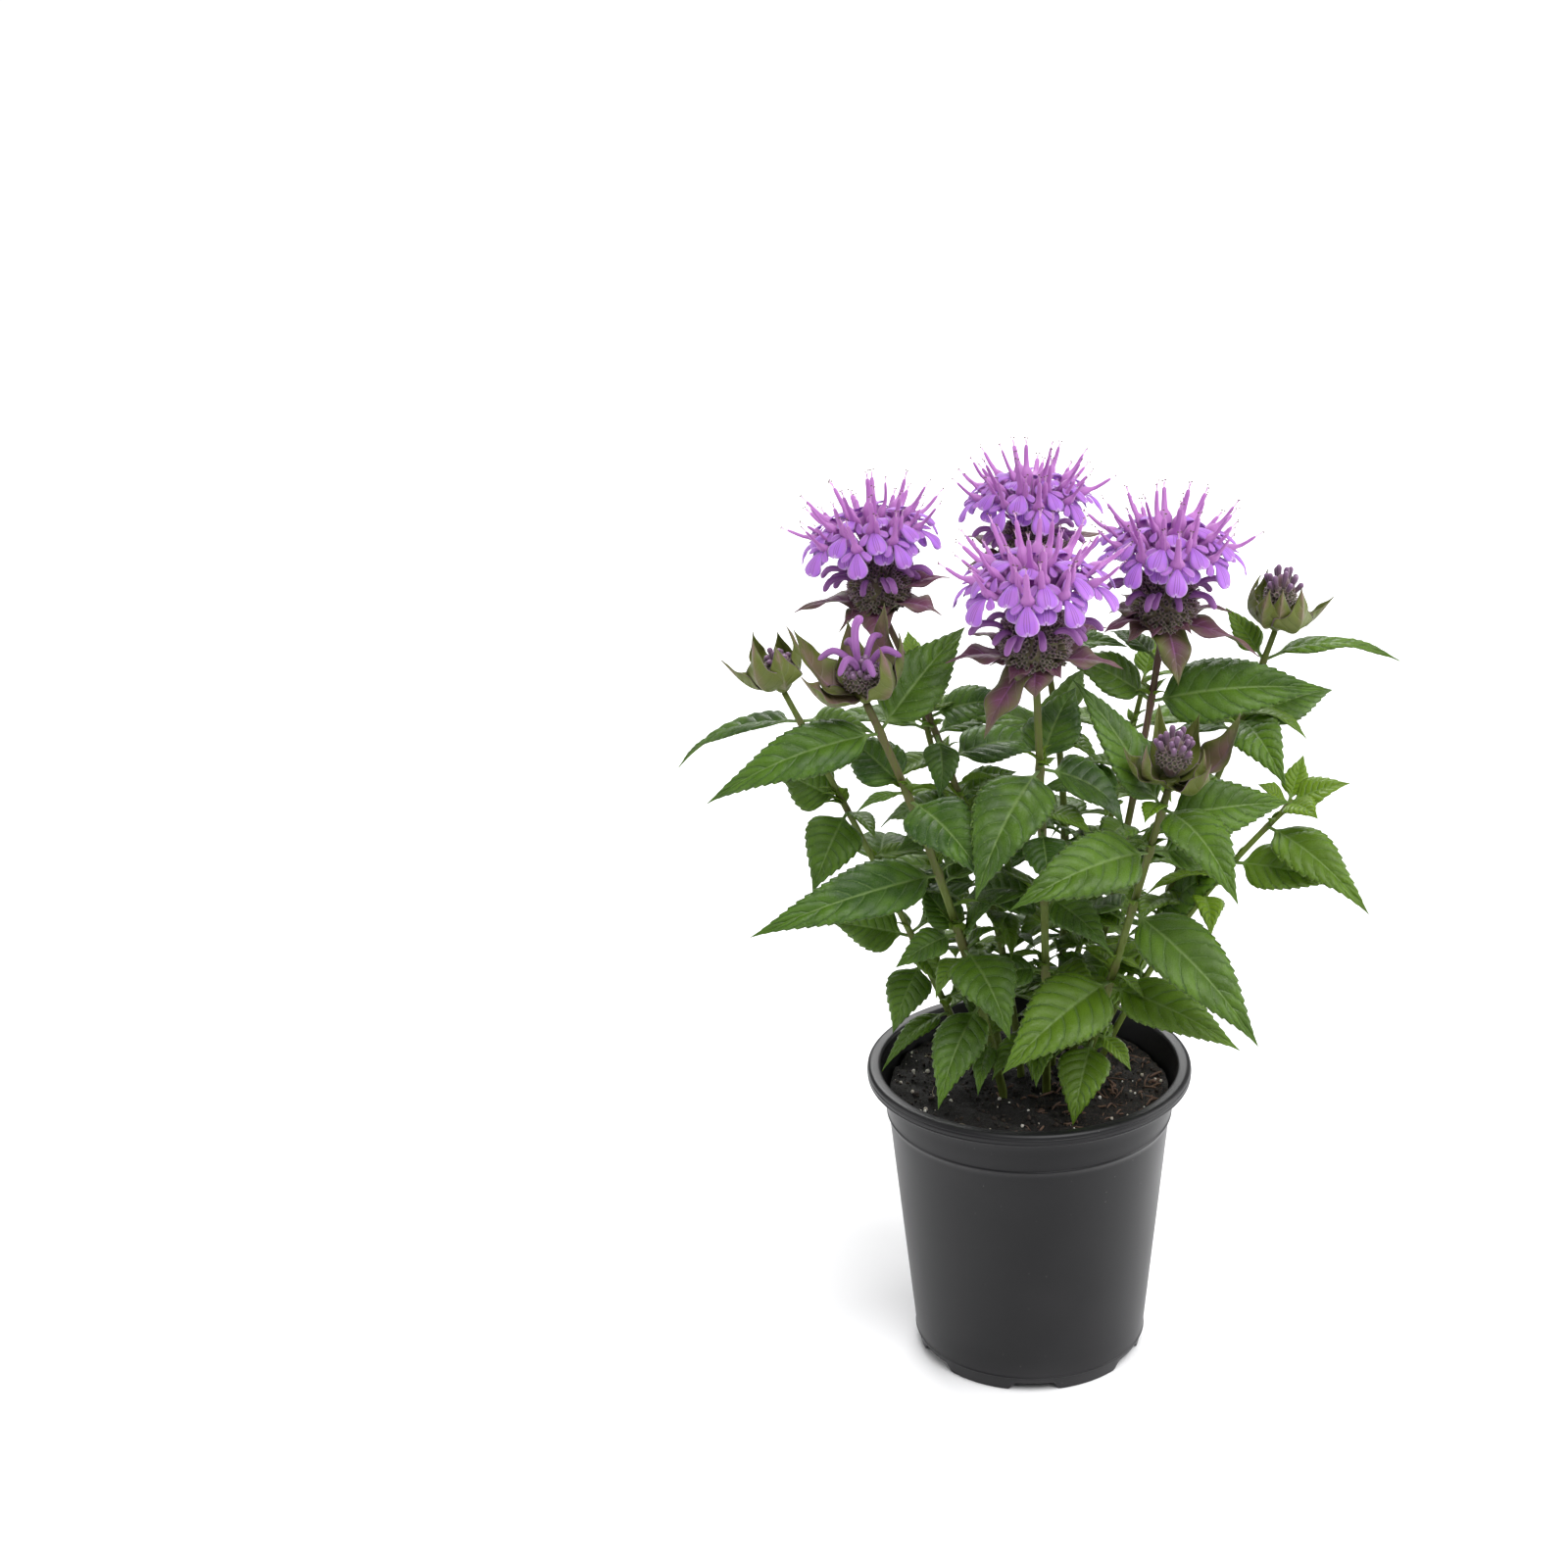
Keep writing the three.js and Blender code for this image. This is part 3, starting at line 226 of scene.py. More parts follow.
# Bud heads: the height that the florets reach, the radius of the ball of calyces below them, how many
# florets stand and curl out, and how flushed the cup is. Each bract of a cup is the angle round the head,
# the distance of its tip from the axis, the height of its tip, its width, how far the tip swings aside and
# flares out, and the twist. Inner ones aren't in the frame.
Bud = namedtuple("Bud", "stem lean seed top ball clubs curls flush cup inner", defaults=[()])
BUDS = [
    Bud("bud_far_left", lean=(4, -10), seed=5, top=22, ball=4.8, clubs=12, curls=0, flush=0.25, cup=[
        (8, 10, 31, 11, -3, -2, 0.9), (78, 9, 28, 13, 0, 0, 0), (146, 10, 31, 15, 0, 1, 0.2),
        (-166, 24, 27, 13, -2, 3, -0.3), (-122, 11, 31, 20, 3, -1, 0),
    ], inner=[(-76, 9.5, 28, 18, 0, -1, 0)]),
    Bud("bud_left", lean=(10, -4), seed=7, top=22, ball=7.5, clubs=34, curls=6, flush=0.5, cup=[
        (14, 19, 33, 18, 0, 0, 0.2), (62, 23, 41, 17, 0, 2, 0), (112, 20, 34, 18, 2, 2, 0),
        (160, 31, 37, 20, 0, 3, 0.3), (-152, 29, 28, 19, -2, 4, 0.3), (-38, 14, 31, 20, -1, -3, -0.3),
    ]),
    Bud("bud_right", lean=(4, 6), seed=13, top=32, ball=5.6, clubs=14, curls=0, flush=0.2, cup=[
        (6, 24, 21, 14, 0, 3, 0.3), (66, 10, 29, 13, 0, 0, 0), (122, 12, 27, 15, 0, 0, 0),
        (178, 10.5, 27.5, 17, 0, 0, 0.2), (-124, 12, 24, 17, 0, -1, 0.2), (-58, 14, 26, 21, -2, -2, 0),
    ], inner=[(-92, 11, 25, 17, 0, -1, 0)]),
    Bud("bud_front", lean=(12, 6), seed=17, top=31, ball=6.0, clubs=20, curls=0, flush=0.38, cup=[
        (6, 27, 43, 20, 0, 1, -1.1), (64, 21, 31, 15, 2, 1, 0), (116, 18, 37, 11, 0, 1, 0),
        (-176, 21, 25, 16, -2, 4, 0.3), (-52, 23, 26, 16, -2, 0, 0.2),
    ], inner=[(-156, 13, 27, 16, 0, 2, 0.2), (-20, 13.5, 26, 17, 0, 0, 0)]),
]
RECEPTACLE = ((0.1, 0.0), (2.5, 0.2), (4.6, 2.6), (5.0, 4.4), (4.6, 6.0), (2.5, 6.8), (0.1, 7.0))
RECEPTACLE_RIM, RECEPTACLE_HEIGHT = 4.4, 6

# Calyces in a bud's ball, the height of the one tall curl, and the number of long dry rootlets on the soil.
BUD_CALYCES, TALL_CURL, ROOTLETS = 60, 46, 9

# The camera that fits the photographed pot and plant and how far the floor reaches, in metres and degrees,
# with the sensor in millimetres.
CAMERA_PLACE = (0.0, -1.440, 0.887)
CAMERA_DOWN, CAMERA_LEFT, CAMERA_UP = 24.1, 4.44, 2.32
SENSOR_WIDTH = 36
FLOOR_REACH = 120


# Points and curves

def unit(vector):
    return vector / np.linalg.norm(vector, axis=-1, keepdims=True)


def around(distance, angle, height):
    """The point at a distance from the axis, at an angle and a height."""
    return np.array((distance * math.cos(angle), distance * math.sin(angle), height))


def part_turn(step, count):
    """The angle of a step on a circle of so many."""
    return 2 * math.pi * step / count


def upright(heights):
    """A path up the axis through these heights."""
    return np.outer(heights, UP)


def drawer(seed):
    """A repeatable random draw from 0 to 1, the same one as the frame's."""
    state = seed * DRAW_START

    def draw():
        nonlocal state
        state = state * DRAW_STEP % DRAW_RANGE
        return state / DRAW_RANGE

    return draw


def arch(start, handle, end, t):
    """Points on the curve that one handle pulls between two ends, and its unit tangents."""
    t = np.asarray(t, float)[:, None]
    points = (1 - t) ** 2 * start + 2 * t * (1 - t) * handle + t**2 * end
    return points, unit(2 * (1 - t) * (handle - start) + 2 * t * (end - handle))


def smooth_path(knots, t):
    """Points at t from 0 to 1 on a smooth curve through all the knots."""
    knots = np.array(knots, float)
    padded = np.vstack((2 * knots[0] - knots[1], knots, 2 * knots[-1] - knots[-2]))
    along = np.clip(np.asarray(t, float), 0, 1) * (len(knots) - 1)
    span = np.minimum(along.astype(int), len(knots) - 2)
    x = (along - span)[:, None]
    a, b, c, d = (padded[span + k] for k in range(4))
    return 0.5 * (2 * b + (c - a) * x + (2 * a - 5 * b + 4 * c - d) * x**2 + (3 * b - a - 3 * c + d) * x**3)


def ease(low, high, x):
    x = np.clip((np.asarray(x, float) - low) / (high - low), 0, 1)
    return x * x * (3 - 2 * x)


def turned(vector, axis, angle):
    """A vector turned about a unit axis that is at right angles to it."""
    return vector * math.cos(angle) + np.cross(axis, vector) * math.sin(angle)


# Faces of sheets and tubes

def grid_faces(grid):
    """Faces between the rows of a grid of corners: four corners a face, then three where its first row
    meets corner 0 and its last row corner 1."""
    a, b, c, d = grid[:-1, :-1], grid[:-1, 1:], grid[1:, 1:], grid[1:, :-1]
    first, last = grid[0], grid[-1]
    foot = np.stack((np.zeros_like(first[1:]), first[1:], first[:-1]), -1)
    tip = np.stack((last[:-1], last[1:], np.ones_like(last[1:])), -1)
    return np.stack((a, b, c, d), -1).reshape(-1, 4), np.vstack((foot, tip))


@lru_cache(maxsize=None)
def sheet_faces(rows, columns):
    """Faces of a thin closed sheet: four corners a face, then three, each with 0 for its top and 1 for its
    underside. Corner 0 is its foot, corner 1 its tip, then come the top's rows and the underside's."""
    top = 2 + np.arange(rows * columns).reshape(rows, columns)
    under = top.copy()
    inner = 2 + rows * columns + np.arange(rows * (columns - 2)).reshape(rows, columns - 2)
    under[:, 1:-1] = inner
    quads, triangles = [], []
    for side, grid in enumerate((top, under)):
        four, three = grid_faces(grid)
        quads.append(four[:, ::-1] if side else four)
        triangles.append(three[:, ::-1] if side else three)
    sides = [np.repeat((0, 1), [len(each) for each in kind]) for kind in (quads, triangles)]
    return np.vstack(quads), np.vstack(triangles), sides[0], sides[1]


@lru_cache(maxsize=None)
def tube_faces(rings, sides):
    """Faces of a closed tube: corner 0 closes its start, corner 1 its end, then come its rings."""
    grid = 2 + np.arange(rings * sides).reshape(rings, sides)
    return grid_faces(np.hstack((grid, grid[:, :1])))


class Shape:
    """Points and faces gathered for one piece, in millimetres. Each point keeps where it lies on its own
    blade or tube, as along, across and a chance, and three tones from 0 to 1 that its material reads."""

    def __init__(self):
        self.points, self.marks, self.tones = [], [], []
        self.quads, self.triangles = [], []
        self.quad_finishes, self.triangle_finishes = [], []
        self.count = 0
        self.seat = (np.identity(3), np.zeros(3))

    def add(self, points, marks, tones, quads, triangles, quad_finish, triangle_finish):
        turn, place = self.seat
        self.points.append(points @ turn.T + place)
        self.marks.append(marks)
        self.tones.append(np.broadcast_to(tones, points.shape))
        self.quads.append(quads + self.count)
        self.triangles.append(triangles + self.count)
        self.quad_finishes.append(np.broadcast_to(quad_finish, len(quads)))
        self.triangle_finishes.append(np.broadcast_to(triangle_finish, len(triangles)))
        self.count += len(points)

    def piece(self, name, finishes, stands_for, slot):
        """Makes the mesh object, lets it ride on the part's root and hides the frame's node that it stands
        for.
        """
        quads, triangles = np.vstack(self.quads), np.vstack(self.triangles)
        points = np.vstack(self.points) * MM
        if not np.isfinite(points).all():
            raise RuntimeError(f"{name} has a point that isn't a number")
        mesh = bpy.data.meshes.new(name)
        mesh.vertices.add(len(points))
        mesh.vertices.foreach_set("co", points.ravel())
        corners = np.concatenate((quads.ravel(), triangles.ravel()))
        mesh.loops.add(len(corners))
        mesh.loops.foreach_set("vertex_index", corners.astype(np.int32))
        fours, threes = np.arange(len(quads)) * 4, np.arange(len(triangles)) * 3 + quads.size
        mesh.polygons.add(len(quads) + len(triangles))
        mesh.polygons.foreach_set("loop_start", np.concatenate((fours, threes)).astype(np.int32))
        indices = np.concatenate(self.quad_finishes + self.triangle_finishes)
        mesh.polygons.foreach_set("material_index", indices.astype(np.int32))
        mesh.update(calc_edges=True)
        for title, values in (("mark", self.marks), ("tone", self.tones)):
            layer = mesh.attributes.new(title, "FLOAT_VECTOR", "POINT")
            layer.data.foreach_set("vector", np.vstack(values).astype(np.float32).ravel())
        for title in finishes:
            mesh.materials.append(finish(title))
        mesh.shade_smooth()
        if mesh.validate():
            raise RuntimeError(f"{name} has broken faces")
        return settle(linked(name, mesh), stands_for)


def linked(name, data):
    """A new object that holds this data, in the scene."""
    made = bpy.data.objects.new(name, data)
    bpy.context.scene.collection.objects.link(made)
    return made


def settle(made, stands_for):
    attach(made, "root")
    if stands_for:
        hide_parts(stands_for)
    return made


# Blades

def half_width(outline, u):
    """The half width of a blade at u, as a share of its widest half."""
    rise, fall = outline
    peak = rise / (rise + fall)
    most = peak**rise * (1 - peak) ** fall
    u = np.clip(u, 0, 1)
    return u**rise * (1 - u) ** fall / most


def toothed_rows(teeth, fine=True):
    """Places along a blade and how far the margin stands out there, from -1 in a notch to 1 at a tooth.
    Each tooth has three rows where it is fine, and else two."""
    pitch = 1 / (teeth + 1.3)
    rows = [(0.012, 0.0), (0.035, 0.0)]
    for k in range(teeth):
        start = (k + 0.75) * pitch
        fade = min(1.0, (k + 0.4) / 2.2)
        rows.append((start + 0.12 * pitch, -fade))
        if fine:
            rows.append((start + 0.5 * pitch, 0.1 * fade))
        rows.append((start + 0.88 * pitch, fade))
    rows.append((0.985, 0.0))
    return np.array(rows).T


def plain_rows(count):
    places = np.sin(np.linspace(0.04, 0.97, count) * math.pi / 2)
    return np.array((places, np.zeros(count)))


FINE_COLUMNS = (0.045, 0.15, 0.31, 0.5, 0.7, 0.87, 1.0)
SMALL_COLUMNS = (0.09, 0.38, 0.72, 1.0)
PLAIN_COLUMNS = (0.1, 0.4, 0.72, 1.0)
LOBE_COLUMNS = (0.15, 0.6, 1.0)
VEIN_SWEEP, VEIN_CURVE, VEIN_SHIFT = 0.13, 0.1, 0.22


def vein_distance(u, s, pairs, chance):
    """1 on a side vein and 0 half way between two, at u along the blade and s across it."""
    across = np.abs(s)
    phase = pairs * (u - VEIN_SWEEP * across - VEIN_CURVE * across**2) + VEIN_SHIFT * np.sign(s) + chance
    return np.abs(2 * (phase - np.floor(phase)) - 1)


def grow_blade(
    shape, root, tip, up, *, lift, width, roll=0, fold=14, stalk=0, outline=LEAF_OUTLINE,
    rows=None, columns=FINE_COLUMNS, tooth=0.0, quilt=0.0, pairs=8, wave=0.0, waves=1.6, curl=0.0,
    twist=0.0, bend=0.0, flare=0.0, belly=0.0, notch=0.0, thick=0.5, rib=0.55, chance=0.0,
    tones=(0, 0, 0), finishes=(0, 1),
):
    """One thin arched blade from root to tip, folded along its rib, quilted between its veins."""
    chord = tip - root
    span = np.linalg.norm(chord)
    foot = stalk / span
    along = chord / span
    normal = turned(unit(up - along * np.dot(up, along)), along, math.radians(roll))
    side = np.cross(along, normal)
    handle = (root + tip) / 2 + normal * 2 * lift
    u, saw = rows
    if stalk:
        u = np.concatenate((np.array((0.03, 0.4, 0.8)) * foot / (1 - foot) - foot / (1 - foot), u))
        saw = np.concatenate((np.zeros(3), saw))
    t = foot + (1 - foot) * u
    center, tangent = arch(root, handle, tip, t)
    center = center + side * (bend * t**2)[:, None]
    center = center + normal * (9.5 * belly * t * (1 - t) ** 3 - flare * t**4)[:, None]
    raised = np.cross(side, tangent)
    turn = twist * (np.clip(u, 0, 1) - 0.3)
    cos_turn, sin_turn = np.cos(turn)[:, None], np.sin(turn)[:, None]
    sideways = side * cos_turn + raised * sin_turn
    raised = raised * cos_turn - side * sin_turn

    s = np.array([-x for x in columns[::-1]] + [0.0] + list(columns))
    blade_half = width / 2 * half_width(outline, u)
    half = np.maximum(blade_half, STALK_HALF * (1.05 - np.clip(u, 0, 1)) if stalk else 0.12)
    narrow = np.minimum(1, blade_half / 6)
    half = half + tooth * saw * narrow
    u_grid, s_grid = np.meshgrid(u, s, indexing="ij")
    half_grid, narrow_grid = half[:, None], narrow[:, None]
    angle = math.radians(fold)
    x = s_grid * half_grid * math.cos(angle)
    bow = np.sqrt(s_grid**2 + 0.002) - math.sqrt(0.002)
    y = half_grid * (bow * math.sin(angle) - curl * np.abs(s_grid) ** 3)
    ripple = np.sin(2 * math.pi * (waves * u_grid + chance) + 1.9 * (s_grid > 0))
    y = y + wave * s_grid**2 * ripple * narrow_grid
    inside = np.sin(math.pi * np.minimum(np.abs(s_grid), 1)) ** 0.7
    open_part = ease(0, 0.08, u_grid) * (1 - ease(0.88, 1, u_grid))
    cells = 1 - vein_distance(u_grid, s_grid, pairs, chance) ** 2
    y = y + quilt * cells * inside * open_part * narrow_grid
    forward = tooth * 0.7 * saw[:, None] * narrow_grid * np.abs(s_grid) ** 8
    forward = forward - notch * np.exp(-((s_grid / 0.28) ** 2)) * ease(0.8, 1, u_grid)

    stem_part = 1 - ease(0, 0.05, u_grid) if stalk else np.zeros_like(u_grid)
    round_part = 0.85 * STALK_HALF * np.sqrt(np.maximum(1 - s_grid**2, 0))
    flat_part = thick / 2 * (1 - np.abs(s_grid) ** 6)
    ridge = rib * (1.1 - 0.85 * np.clip(u_grid, 0, 1)) * np.exp(-((x / 0.9) ** 2)) * (1 - np.abs(s_grid) ** 6)
    over = flat_part - 0.3 * ridge
    beneath = flat_part + ridge
    over = over + (round_part - over) * stem_part
    beneath = beneath + (round_part - beneath) * stem_part

    def placed(offset):
        moved = center[:, None] + sideways[:, None] * x[..., None] + raised[:, None] * (y + offset)[..., None]
        return moved + tangent[:, None] * forward[..., None]

    top, under = placed(over), placed(-beneath)
    ends = np.vstack((root, tip + side * bend - normal * flare - along * notch))
    points = np.vstack((ends, top.reshape(-1, 3), under[:, 1:-1].reshape(-1, 3)))
    mark = np.stack((u_grid, s_grid, np.full_like(u_grid, chance)), -1)
    end_marks = np.array(((-foot if stalk else 0, 0, chance), (1, 0, chance)))
    marks = np.vstack((end_marks, mark.reshape(-1, 3), mark[:, 1:-1].reshape(-1, 3)))
    quads, triangles, quad_sides, triangle_sides = sheet_faces(len(u), len(s))
    finish = np.array(finishes)
    shape.add(points, marks, tones, quads, triangles, finish[quad_sides], finish[triangle_sides])


# Tubes

def grow_tube(
    shape, path, radii, across, *, sides=8, flat=1.0, section=None, chance=0.0, tones=(0, 0, 0), finish=0,
):
    """A closed tube along a path, whose first and last points close it. across is kept as the direction
    of its full radius, and flat is the share of it at right angles to that."""
    path = np.asarray(path, float)
    tangent = unit(np.gradient(path, axis=0))
    frames = []
    for direction in tangent:
        across = unit(across - direction * np.dot(across, direction))
        frames.append((across, np.cross(direction, across)))
    wide, deep = np.array([f[0] for f in frames]), np.array([f[1] for f in frames])
    angles = 2 * math.pi * np.arange(sides) / sides
    spread = np.ones(sides) if section is None else section(angles)
    wide_part = (spread * np.cos(angles))[None, :, None] * wide[1:-1, None]
    deep_part = (spread * np.sin(angles) * flat)[None, :, None] * deep[1:-1, None]
    rings = path[1:-1, None] + np.asarray(radii)[1:-1, None, None] * (wide_part + deep_part)
    points = np.vstack((path[:1], path[-1:], rings.reshape(-1, 3)))
    t = np.linspace(0, 1, len(path))
    t_grid, a_grid = np.meshgrid(t[1:-1], angles / math.pi - 1, indexing="ij")
    ring_marks = np.stack((t_grid, a_grid, np.full_like(t_grid, chance)), -1).reshape(-1, 3)
    marks = np.vstack(((0, 0, chance), (1, 0, chance), ring_marks))
    quads, triangles = tube_faces(len(path) - 2, sides)
    shape.add(points, marks, tones, quads, triangles, finish, finish)


def rounded_end(count, end=0.12, turns=4):
    """Places along a tube, closer together where its end is rounded off."""
    body = np.linspace(0, 1 - end, count)
    cap = 1 - end + end * np.sin(np.linspace(0, math.pi / 2, turns + 1)[1:])
    return np.concatenate((body, cap))


def rounded_radii(t, knots, values, end=0.12):
    """Radii at places t, drawn in to nothing over the last end of the tube."""
    radii = np.interp(t, knots, values)
    return radii * np.sqrt(np.clip(1 - (np.maximum(t - (1 - end), 0) / end) ** 2, 0, 1))


@lru_cache(maxsize=None)
def calyx_form(sides=8):
    """One calyx, a unit long: a ribbed tube with pointed teeth round its mouth, whose inner ring is marked
    for painted shade.
    """
    angles = 2 * math.pi * np.arange(sides) / sides
    tooth = np.arange(sides) % 2 == 0
    rings = []
    for height, radius in ((0.0, 0.09), (0.3, 0.135), (0.72, 0.155)):
        rings.append((np.full(sides, height), np.full(sides, radius) * np.where(tooth, 1.08, 0.95)))
    rings.append((np.where(tooth, 1.0, 0.84), np.where(tooth, 0.2, 0.16)))
    rings.append((np.where(tooth, 0.82, 0.78), np.full(sides, 0.1)))
    points = [(0, 0, 0), (0, 0, 0.6)]
    marks = [(0, 0, 0), (0.2, 0, 1)]
    for row, (heights, radii) in enumerate(rings):
        for angle, height, radius in zip(angles, heights, radii):
            points.append((radius * math.cos(angle), radius * math.sin(angle), height))
            # The inner ring is marked 1 in its third number, where the calyx material paints shade into the
            # mouth.
            marks.append((min(height, 1), angle / math.pi - 1, 1.0 if row == 4 else 0.0))
    quads, triangles = tube_faces(len(rings), sides)
    return np.array(points, float), np.array(marks, float), quads, triangles


def basis_along(direction):
    """Three unit directions as columns, the last one along direction."""
    aside = ASIDE if abs(direction[0]) < 0.8 else np.array((0.0, 1.0, 0.0))
    across = unit(np.cross(direction, aside))
    return np.stack((across, np.cross(direction, across), direction), -1)


def set_calyx(shape, place, direction, length, width, tones, finish=0):
    points, marks, quads, triangles = calyx_form()
    scaled = points * (width, width, length)
    shape.add(scaled @ basis_along(direction).T + place, marks, tones, quads, triangles, finish, finish)


def set_grain(shape, place, size, draw, tones, finish=0, rings=3, sides=5):
    """A small uneven lump: a crumb of peat, a chip of bark or a bead of perlite."""
    lift = np.linspace(-0.72, 0.72, rings)
    rows = []
    for height in lift:
        radius = math.sqrt(1 - height**2)
        for k in range(sides):
            angle = part_turn(k + 0.5 * draw(), sides)
            rows.append(around(radius * (0.75 + 0.4 * draw()), angle, height))
    points = np.vstack(((0, 0, -1), (0, 0, 0.9), rows)) * np.array(size)
    heading = unit(np.array((draw() - 0.5, draw() - 0.5, 0.35 + draw())))
    points = points @ basis_along(heading).T + place
    marks = np.tile((draw(), 0, draw()), (len(points), 1))
    quads, triangles = tube_faces(rings, sides)
    shape.add(points, marks, tones, quads, triangles, finish, finish)


# Material nodes

class Nodes:
    """A node tree with short calls for its nodes. A value is a number, a colour or another socket."""

    def __init__(self, tree):
        self.tree = tree

    def put(self, socket, value):
        if isinstance(value, bpy.types.NodeSocket):
            self.tree.links.new(value, socket)
        else:
            socket.default_value = value

    def add(self, kind, inputs=None, **settings):
        node = self.tree.nodes.new(kind)
        for name, value in settings.items():
            setattr(node, name, value)
        for name, value in (inputs or {}).items():
            self.put(node.inputs[name], value)
        return node

    def math(self, operation, *values, clamp=False):
        node = self.add("ShaderNodeMath", operation=operation, use_clamp=clamp)
        for socket, value in zip(node.inputs, values):
            self.put(socket, value)
        return node.outputs[0]

    def plus(self, a, b, clamp=False):
        return self.math("ADD", a, b, clamp=clamp)

    def minus(self, a, b, clamp=False):
        return self.math("SUBTRACT", a, b, clamp=clamp)

    def times(self, a, b):
        return self.math("MULTIPLY", a, b)

    def absolute(self, value):
        return self.math("ABSOLUTE", value)

    def mix(self, factor, a, b):
        """Mixes two colours."""
        node = self.add("ShaderNodeMix", data_type="RGBA")
        for socket, value in zip((node.inputs[0], node.inputs[6], node.inputs[7]), (factor, a, b)):
            self.put(socket, value)
        return node.outputs[2]

    def range(self, value, low, high, to_low=0.0, to_high=1.0):
        """A value from low to high, turned smoothly into one from to_low to to_high."""
        node = self.add("ShaderNodeMapRange", interpolation_type="SMOOTHSTEP")
        for name, each in zip(("Value", "From Min", "From Max", "To Min", "To Max"),
                              (value, low, high, to_low, to_high)):
            self.put(node.inputs[name], each)
        return node.outputs["Result"]

    def spread(self, unevenness, low=0.0, high=1.0):
        """An unevenness about a half, spread out from low to high."""
        return self.range(unevenness, 0.3, 0.7, low, high)

    def noise(self, scale, vector, detail=3.0, roughness=0.55, distortion=0.0):
        inputs = {"Scale": scale, "Vector": vector, "Detail": detail}
        inputs |= {"Roughness": roughness, "Distortion": distortion}
        return self.add("ShaderNodeTexNoise", inputs).outputs["Fac"]

    def split(self, vector):
        return self.add("ShaderNodeSeparateXYZ", {"Vector": vector}).outputs

    def group(self, tree, **inputs):
        node = self.add("ShaderNodeGroup", node_tree=tree)
        for name, value in inputs.items():
            self.put(node.inputs[name], value)
        return node.outputs


def effect(name, inputs, outputs):
    """A new node group with float inputs and outputs, the vector input being Place."""
    tree = bpy.data.node_groups.new(name, "ShaderNodeTree")
    for title, default in inputs.items():
        kind = "NodeSocketVector" if title == "Place" else "NodeSocketFloat"
        socket = tree.interface.new_socket(name=title, in_out="INPUT", socket_type=kind)
        if default is not None:
            socket.default_value = default
    for title in outputs:
        tree.interface.new_socket(name=title, in_out="OUTPUT", socket_type="NodeSocketFloat")
    nodes = Nodes(tree)
    taken = nodes.add("NodeGroupInput").outputs
    given = nodes.add("NodeGroupOutput").inputs
    return tree, nodes, taken, given


@lru_cache(maxsize=None)
def blade_veins():
    """Rib, side veins, the swelling between them and a fine net, from a place on a blade."""
    inputs = {"Place": None, "Along": 0.0, "Across": 0.0, "Chance": 0.0, "Pairs": 8.0, "Net": 850.0}
    tree, nodes, taken, given = effect("Blade veins", inputs, ("Rib", "Side", "Cells", "Net"))
    across = nodes.absolute(taken["Across"])
    bowed = nodes.times(nodes.times(across, across), VEIN_CURVE)
    swept = nodes.plus(nodes.times(across, VEIN_SWEEP), bowed)
    stretched = nodes.times(nodes.minus(taken["Along"], swept), taken["Pairs"])
    shifted = nodes.times(nodes.math("SIGN", taken["Across"]), VEIN_SHIFT)
    phase = nodes.plus(nodes.plus(stretched, shifted), taken["Chance"])
    wander = nodes.times(nodes.minus(nodes.noise(180.0, taken["Place"]), 0.5), 0.12)
    cell = nodes.math("FRACT", nodes.plus(phase, wander))
    distance = nodes.absolute(nodes.minus(nodes.times(cell, 2.0), 1.0))
    side = nodes.range(distance, nodes.range(across, 0.1, 1.0, 0.80, 0.95), 1.0)
    reach = nodes.range(across, 0.75, 1.0, 1.0, 0.0)
    open_part = nodes.range(taken["Along"], 0.9, 1.0, 1.0, 0.0)
    nodes.put(given["Side"], nodes.times(nodes.times(side, reach), open_part))
    rib_width = nodes.range(taken["Along"], 0.0, 1.0, 0.075, 0.05)
    rib = nodes.minus(1.0, nodes.math("DIVIDE", across, rib_width), clamp=True)
    stalk = nodes.range(taken["Along"], -0.02, 0.03, 1.0, 0.0)
    nodes.put(given["Rib"], nodes.math("MAXIMUM", rib, stalk))
    nodes.put(given["Cells"], nodes.minus(1.0, nodes.times(distance, distance)))
    net = nodes.add(
        "ShaderNodeTexVoronoi", {"Vector": taken["Place"], "Scale": taken["Net"]}, feature="DISTANCE_TO_EDGE",
    )
    nodes.put(given["Net"], nodes.range(net.outputs["Distance"], 0.0, 0.16, 1.0, 0.0))
    return tree


@lru_cache(maxsize=None)
def mottle():
    """Broad and fine unevenness from 0 to 1 about a half."""
    inputs = {"Place": None, "Broad": 40.0, "Fine": 900.0}
    tree, nodes, taken, given = effect("Mottle", inputs, ("Broad", "Fine"))
    nodes.put(given["Broad"], nodes.noise(taken["Broad"], taken["Place"], 2.0, 0.5))
    nodes.put(given["Fine"], nodes.noise(taken["Fine"], taken["Place"], 3.0, 0.6))
    return tree


@lru_cache(maxsize=None)
def dust():
    """Scattered specks, few or many."""
    inputs = {"Place": None, "Scale": 260.0, "Size": 0.1}
    tree, nodes, taken, given = effect("Dust specks", inputs, ("Specks",))
    dots = nodes.add("ShaderNodeTexVoronoi", {"Vector": taken["Place"], "Scale": taken["Scale"]})
    kept = nodes.math("GREATER_THAN", nodes.split(dots.outputs["Color"])["X"], 0.72)
    round_dots = nodes.range(dots.outputs["Distance"], 0.0, taken["Size"], 1.0, 0.0)
    nodes.put(given["Specks"], nodes.times(round_dots, kept))
    return tree


